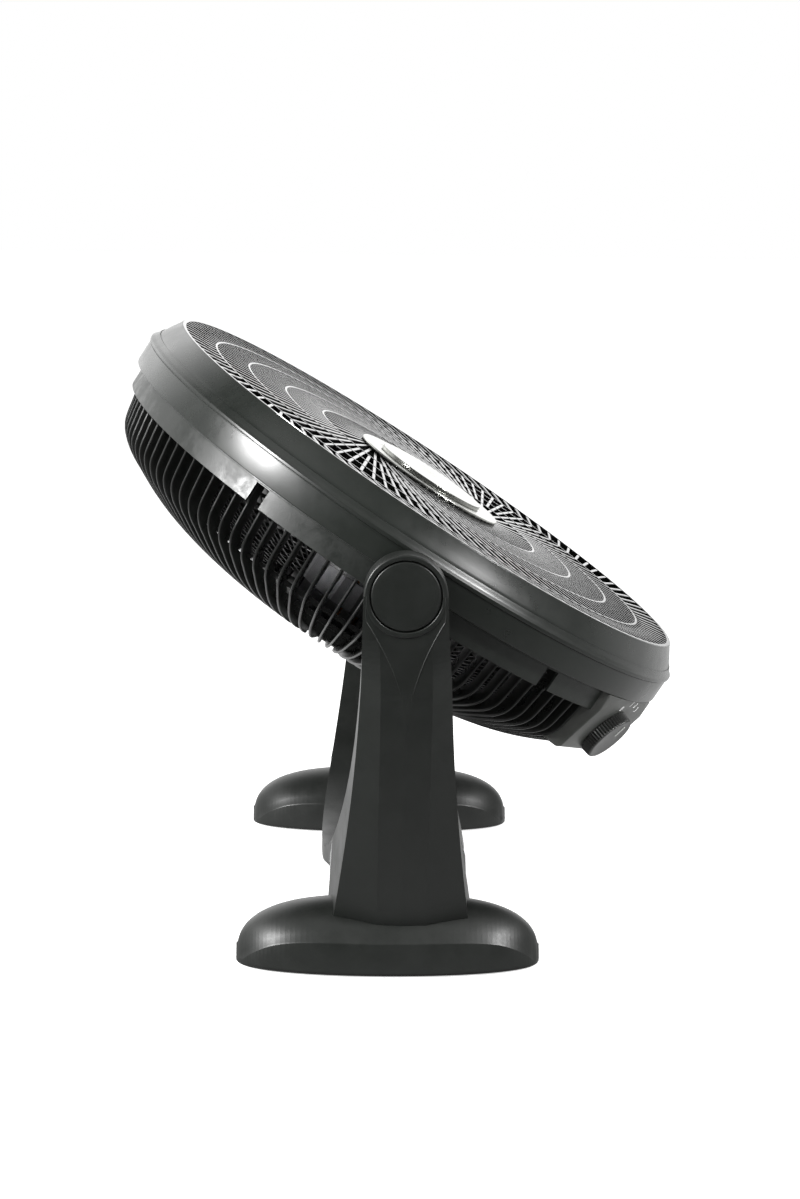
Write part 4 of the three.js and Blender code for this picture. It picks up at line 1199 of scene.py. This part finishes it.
# ---------------------------------------------------------------- blade and motor
class FAN_OT_blade(bpy.types.Operator):
    """Blade: five swept blades on a round hub, and the nut in front of it"""

    bl_idname = "fan.blade"
    bl_label = "Blade"

    def execute(self, context):
        sizes = fan().blade
        tip, hub_r, front = sizes.radius / MM, sizes.hub_r / MM, sizes.hub_front / MM
        blade = bmesh.new()
        bmesh.ops.create_grid(blade, x_segments=22, y_segments=20, size=0.5)
        for vert in blade.verts:
            t, s = vert.co.x + 0.5, vert.co.y
            radius = hub_r - 3 + (tip - hub_r + 3) * t
            width = math.radians(62) * (1 - 0.32 * t)
            corner = 1 - 0.16 * max(0, t - 0.8) / 0.2 * abs(2 * s) ** 3
            turn = math.radians(26) * t ** 1.4 + s * width
            z = -(40 - 8 * t) * s + 7 * math.cos(math.pi * s) - 2
            vert.co = Vector((radius * corner * math.cos(turn), radius * corner * math.sin(turn), z)) * MM
        bmesh.ops.recalc_face_normals(blade, faces=blade.faces)
        bmesh.ops.solidify(blade, geom=blade.faces[:], thickness=2.2 * MM)
        patterned(outward(blade), sizes.blades)
        rear = -24.7
        hub = turned(bmesh.new(), [
            (0, rear + 8), (hub_r - 4, rear + 8), (hub_r - 4, rear), (hub_r, rear), (hub_r, front - 6),
            *arc((hub_r - 6, front - 6), 6, 0, 80, 6), (hub_r - 14, front + 0.2), (0, front + 0.3)], 128, closed=False)
        add_in(blade, outward(hub))
        finished("blade_rotor", blade, HEAD, "blade_black", "rotor", ["blade"], 40)
        nut = turned(bmesh.new(), [
            (0, front + 13), (5, front + 12.7), (9, front + 11), (12.5, front + 6), (14, front + 3), (14, front + 0.4),
            (4.4, front + 0.4), (4.4, front + 6.4), (0, front + 6.4)], 64, closed=False)
        finished("blade_nut_cap", outward(nut), HEAD, "blade_black", "rotor", ["blade_nut"])
        return {"FINISHED"}


class FAN_OT_motor(bpy.types.Operator):
    """Motor: its two cast shells with their air slots"""

    bl_idname = "fan.motor"
    bl_label = "Motor"

    def execute(self, context):
        back = fan().basket.back_z / MM + fan().basket.plate_t / MM + 0.3
        radius, front = 52, back + 68
        for word, flat, rim, way in (("rear", back, back + 22, 1), ("front", front, back + 48.3, -1)):
            profile = [(9, flat), (radius - 10, flat), (radius - 6, flat + way * 1.6), (radius - 2, flat + way * 5),
                       (radius, flat + way * 9), (radius, rim), (radius - 2, rim), (radius - 2, flat + way * 10),
                       (radius - 5, flat + way * 5), (radius - 11, flat + way * 2), (9, flat + way * 2)]
            shell = outward(turned(bmesh.new(), profile, 96))
            slots = [add_in(bmesh.new(), brick(8, 4, 14), spin_z(turn * 20) @ shift(radius, 0, rim - way * 7))
                     for turn in range(18)]
            joined = bmesh.new()
            for slot in slots:
                add_in(joined, slot)
            finished(f"motor_shell_cast_{word}", without(shell, joined), HEAD, "motor_shell", "head",
                     [f"motor_shell_{word}"], 35)
        return {"FINISHED"}


class FAN_OT_small_parts(bpy.types.Operator):
    """Finishes for the carried-over parts: pads, bolts, bearings, windings and switch"""

    bl_idname = "fan.small_parts"
    bl_label = "Small parts"

    def execute(self, context):
        finishes = {
            "pad_rubber": ("foot_pad_",), "zinc_steel": ("pivot_bolt_", "pivot_nut_", "friction_washer_", "bearing_",
                                                        "rotor_shaft"),
            "core_steel": ("stator_core", "rotor_core"), "copper_winding": ("winding_",),
            "switch_plastic": ("rotary_switch",), "capacitor_plastic": ("capacitor",),
        }
        for name, starts in finishes.items():
            for node, carried in frame["nodes"].items():
                if node.startswith(starts):
                    carried.data.materials.clear()
                    carried.data.materials.append(material(name))
        return {"FINISHED"}


# ---------------------------------------------------------------- stage
def lamp(name, power, size, place, target):
    data = bpy.data.lights.new(name, "AREA")
    data.energy = power
    data.shape = "DISK"
    data.size = size
    made = bpy.data.objects.new(name, data)
    made.location = place
    made.rotation_euler = (Vector(target) - Vector(place)).to_track_quat("-Z", "Y").to_euler()
    bpy.context.scene.collection.objects.link(made)


# Each patch of the studio: its direction, the dot products where it starts and is full, its strength.
STUDIO = (((0.05, 1, 0.08), 0.52, 0.90, 1.7), ((-0.6, 0.6, 0.53), 0.86, 0.98, 1.5),
          ((0, -0.15, 0.99), 0.90, 0.99, 1.1), ((-1, 0.2, 0.1), 0.6, 0.95, 0.65),
          ((1, 0.1, 0.1), 0.6, 0.95, 0.25))


class FAN_OT_stage(bpy.types.Operator):
    """Stage: the camera, the pale floor, the world and the lamps"""

    bl_idname = "fan.stage"
    bl_label = "Stage"

    def execute(self, context):
        scene = bpy.context.scene
        settings = fan().stage
        scene.view_settings.view_transform = "Standard"

        data = bpy.data.cameras.new("camera")
        data.sensor_width = 36
        data.lens = settings.lens
        data.clip_end = 100
        camera = bpy.data.objects.new("camera", data)
        yaw, pitch, roll = 0.02955, 0.201, 0.01429
        ahead = Vector((math.sin(yaw) * math.cos(pitch), math.cos(yaw) * math.cos(pitch), -math.sin(pitch)))
        level = Vector((math.cos(yaw), -math.sin(yaw), 0))
        upright = level.cross(ahead)
        right = math.cos(roll) * level + math.sin(roll) * upright
        up = math.cos(roll) * upright - math.sin(roll) * level
        turn = Matrix((right, up, -ahead)).transposed().to_4x4()
        camera.matrix_world = Matrix.Translation((PIVOT.x - 0.05639, -2.056, 0.6971)) @ turn
        scene.collection.objects.link(camera)
        scene.camera = camera

        shape = bmesh.new()
        size = settings.floor_size
        bmesh.ops.create_grid(shape, x_segments=1, y_segments=1, size=size)
        mesh = bpy.data.meshes.new("floor")
        shape.to_mesh(mesh)
        shape.free()
        floor = bpy.data.objects.new("floor", mesh)
        mesh.materials.append(self.floor_material())
        scene.collection.objects.link(floor)

        world = bpy.data.worlds.new("studio")
        scene.world = world
        world.use_nodes = True
        wire = Wiring(world.node_tree)
        even = world.node_tree.nodes["Background"]
        even.inputs["Color"].default_value = (1, 1, 1, 1)
        path = wire.node("ShaderNodeLightPath")
        mirrored = wire.math("ADD", settings.dark_side, self.studio(wire))
        plain = wire.math("MAXIMUM", path.outputs["Is Camera Ray"], path.outputs["Is Transmission Ray"])
        strength = wire.node("ShaderNodeMapRange", Value=path.outputs["Is Glossy Ray"])
        wire.feed(strength.inputs["To Min"], settings.world_light)
        wire.feed(strength.inputs["To Max"], mirrored)
        shown = wire.node("ShaderNodeMapRange", Value=plain)
        wire.feed(shown.inputs["To Min"], strength.outputs["Result"])
        wire.feed(shown.inputs["To Max"], 1.0)
        wire.feed(even.inputs["Strength"], shown.outputs["Result"])

        lamp("key", settings.key_light, 0.6, (-1.88, -1.17, 1.26), (-0.2, -0.2, 0.42))
        lamp("fill", settings.fill_light, 0.45, (1.83, -1.08, 1.58), (0.05, -0.27, 0.37))
        return {"FINISHED"}

    def studio(self, wire):
        """What shiny surfaces mirror: a white wall behind the fan and a soft box on each side."""
        direction = wire.node("ShaderNodeTexCoord").outputs["Generated"]
        total = 0.0
        for aim, start, full, strength in STUDIO:
            along = wire.node("ShaderNodeVectorMath", settings={"operation": "DOT_PRODUCT"})
            wire.feed(along.inputs[0], direction)
            along.inputs[1].default_value = Vector(aim).normalized()
            patch = wire.node("ShaderNodeMapRange", settings={"interpolation_type": "SMOOTHSTEP"},
                              Value=along.outputs["Value"])
            for socket, value in (("From Min", start), ("From Max", full), ("To Max", strength)):
                patch.inputs[socket].default_value = value
            total = wire.math("ADD", total, patch.outputs["Result"])
        return total

    def floor_material(self):
        made = bpy.data.materials.new("floor")
        made.use_nodes = True
        tree = made.node_tree
        tree.nodes.clear()
        wire = Wiring(tree)
        matt = wire.node("ShaderNodeBsdfDiffuse", Color=(0.86, 0.86, 0.86, 1))
        white = wire.node("ShaderNodeEmission", Color=(1, 1, 1, 1), Strength=0.64)
        both = tree.nodes.new("ShaderNodeAddShader")
        tree.links.new(matt.outputs[0], both.inputs[0])
        tree.links.new(white.outputs[0], both.inputs[1])
        split = wire.node("ShaderNodeSeparateXYZ", Vector=wire.node("ShaderNodeTexCoord").outputs["Object"])
        fade = wire.node("ShaderNodeMapRange", settings={"interpolation_type": "SMOOTHSTEP"},
                         Value=split.outputs["Y"])
        for socket, value in (("From Min", -0.9), ("From Max", 0.5), ("To Min", 0.08), ("To Max", 1.0)):
            fade.inputs[socket].default_value = value
        bright = wire.node("ShaderNodeEmission", Color=(1, 1, 1, 1), Strength=fade.outputs["Result"])
        path = wire.node("ShaderNodeLightPath")
        first = tree.nodes.new("ShaderNodeMixShader")
        tree.links.new(path.outputs["Is Camera Ray"], first.inputs[0])
        tree.links.new(matt.outputs[0], first.inputs[1])
        tree.links.new(both.outputs[0], first.inputs[2])
        second = tree.nodes.new("ShaderNodeMixShader")
        shiny = wire.math("MAXIMUM", path.outputs["Is Glossy Ray"], path.outputs["Is Transmission Ray"])
        tree.links.new(shiny, second.inputs[0])
        tree.links.new(first.outputs[0], second.inputs[1])
        tree.links.new(bright.outputs[0], second.inputs[2])
        out = tree.nodes.new("ShaderNodeOutputMaterial")
        tree.links.new(second.outputs[0], out.inputs["Surface"])
        return made


# ---------------------------------------------------------------- panel and registration
OPERATORS = (FAN_OT_stage, FAN_OT_front_grille, FAN_OT_centre_cap, FAN_OT_drum_ring, FAN_OT_rear_basket,
             FAN_OT_hub_cover, FAN_OT_control_panel, FAN_OT_knob, FAN_OT_numerals, FAN_OT_yoke, FAN_OT_feet,
             FAN_OT_blade, FAN_OT_motor, FAN_OT_small_parts)


class FAN_PT_pieces(bpy.types.Panel):
    """Lists the fan's pieces"""

    bl_idname = "FAN_PT_pieces"
    bl_label = "Air Circulator Fan"
    bl_space_type = "VIEW_3D"
    bl_region_type = "UI"
    bl_category = "Fan"

    def draw(self, context):
        for operator in OPERATORS:
            self.layout.operator(operator.bl_idname)
        for name in FanSettings.__annotations__:
            box = self.layout.box()
            box.label(text=name.capitalize())
            sizes = getattr(context.scene.fan, name)
            for entry in sizes.__annotations__:
                box.prop(sizes, entry)


CLASSES = (HeadSizes, GrilleSizes, BasketSizes, ControlSizes, YokeSizes, FootSizes, BladeSizes, Finishes,
           StageSettings, FanSettings, *OPERATORS, FAN_PT_pieces)


def register():
    for cls in CLASSES:
        bpy.utils.register_class(cls)
    bpy.types.Scene.fan = bpy.props.PointerProperty(type=FanSettings)


def unregister():
    del bpy.types.Scene.fan
    for cls in reversed(CLASSES):
        bpy.utils.unregister_class(cls)


def main():
    register()
    for operator in OPERATORS:
        getattr(bpy.ops.fan, operator.bl_idname.split(".")[1])()


if __name__ == "__main__":
    main()
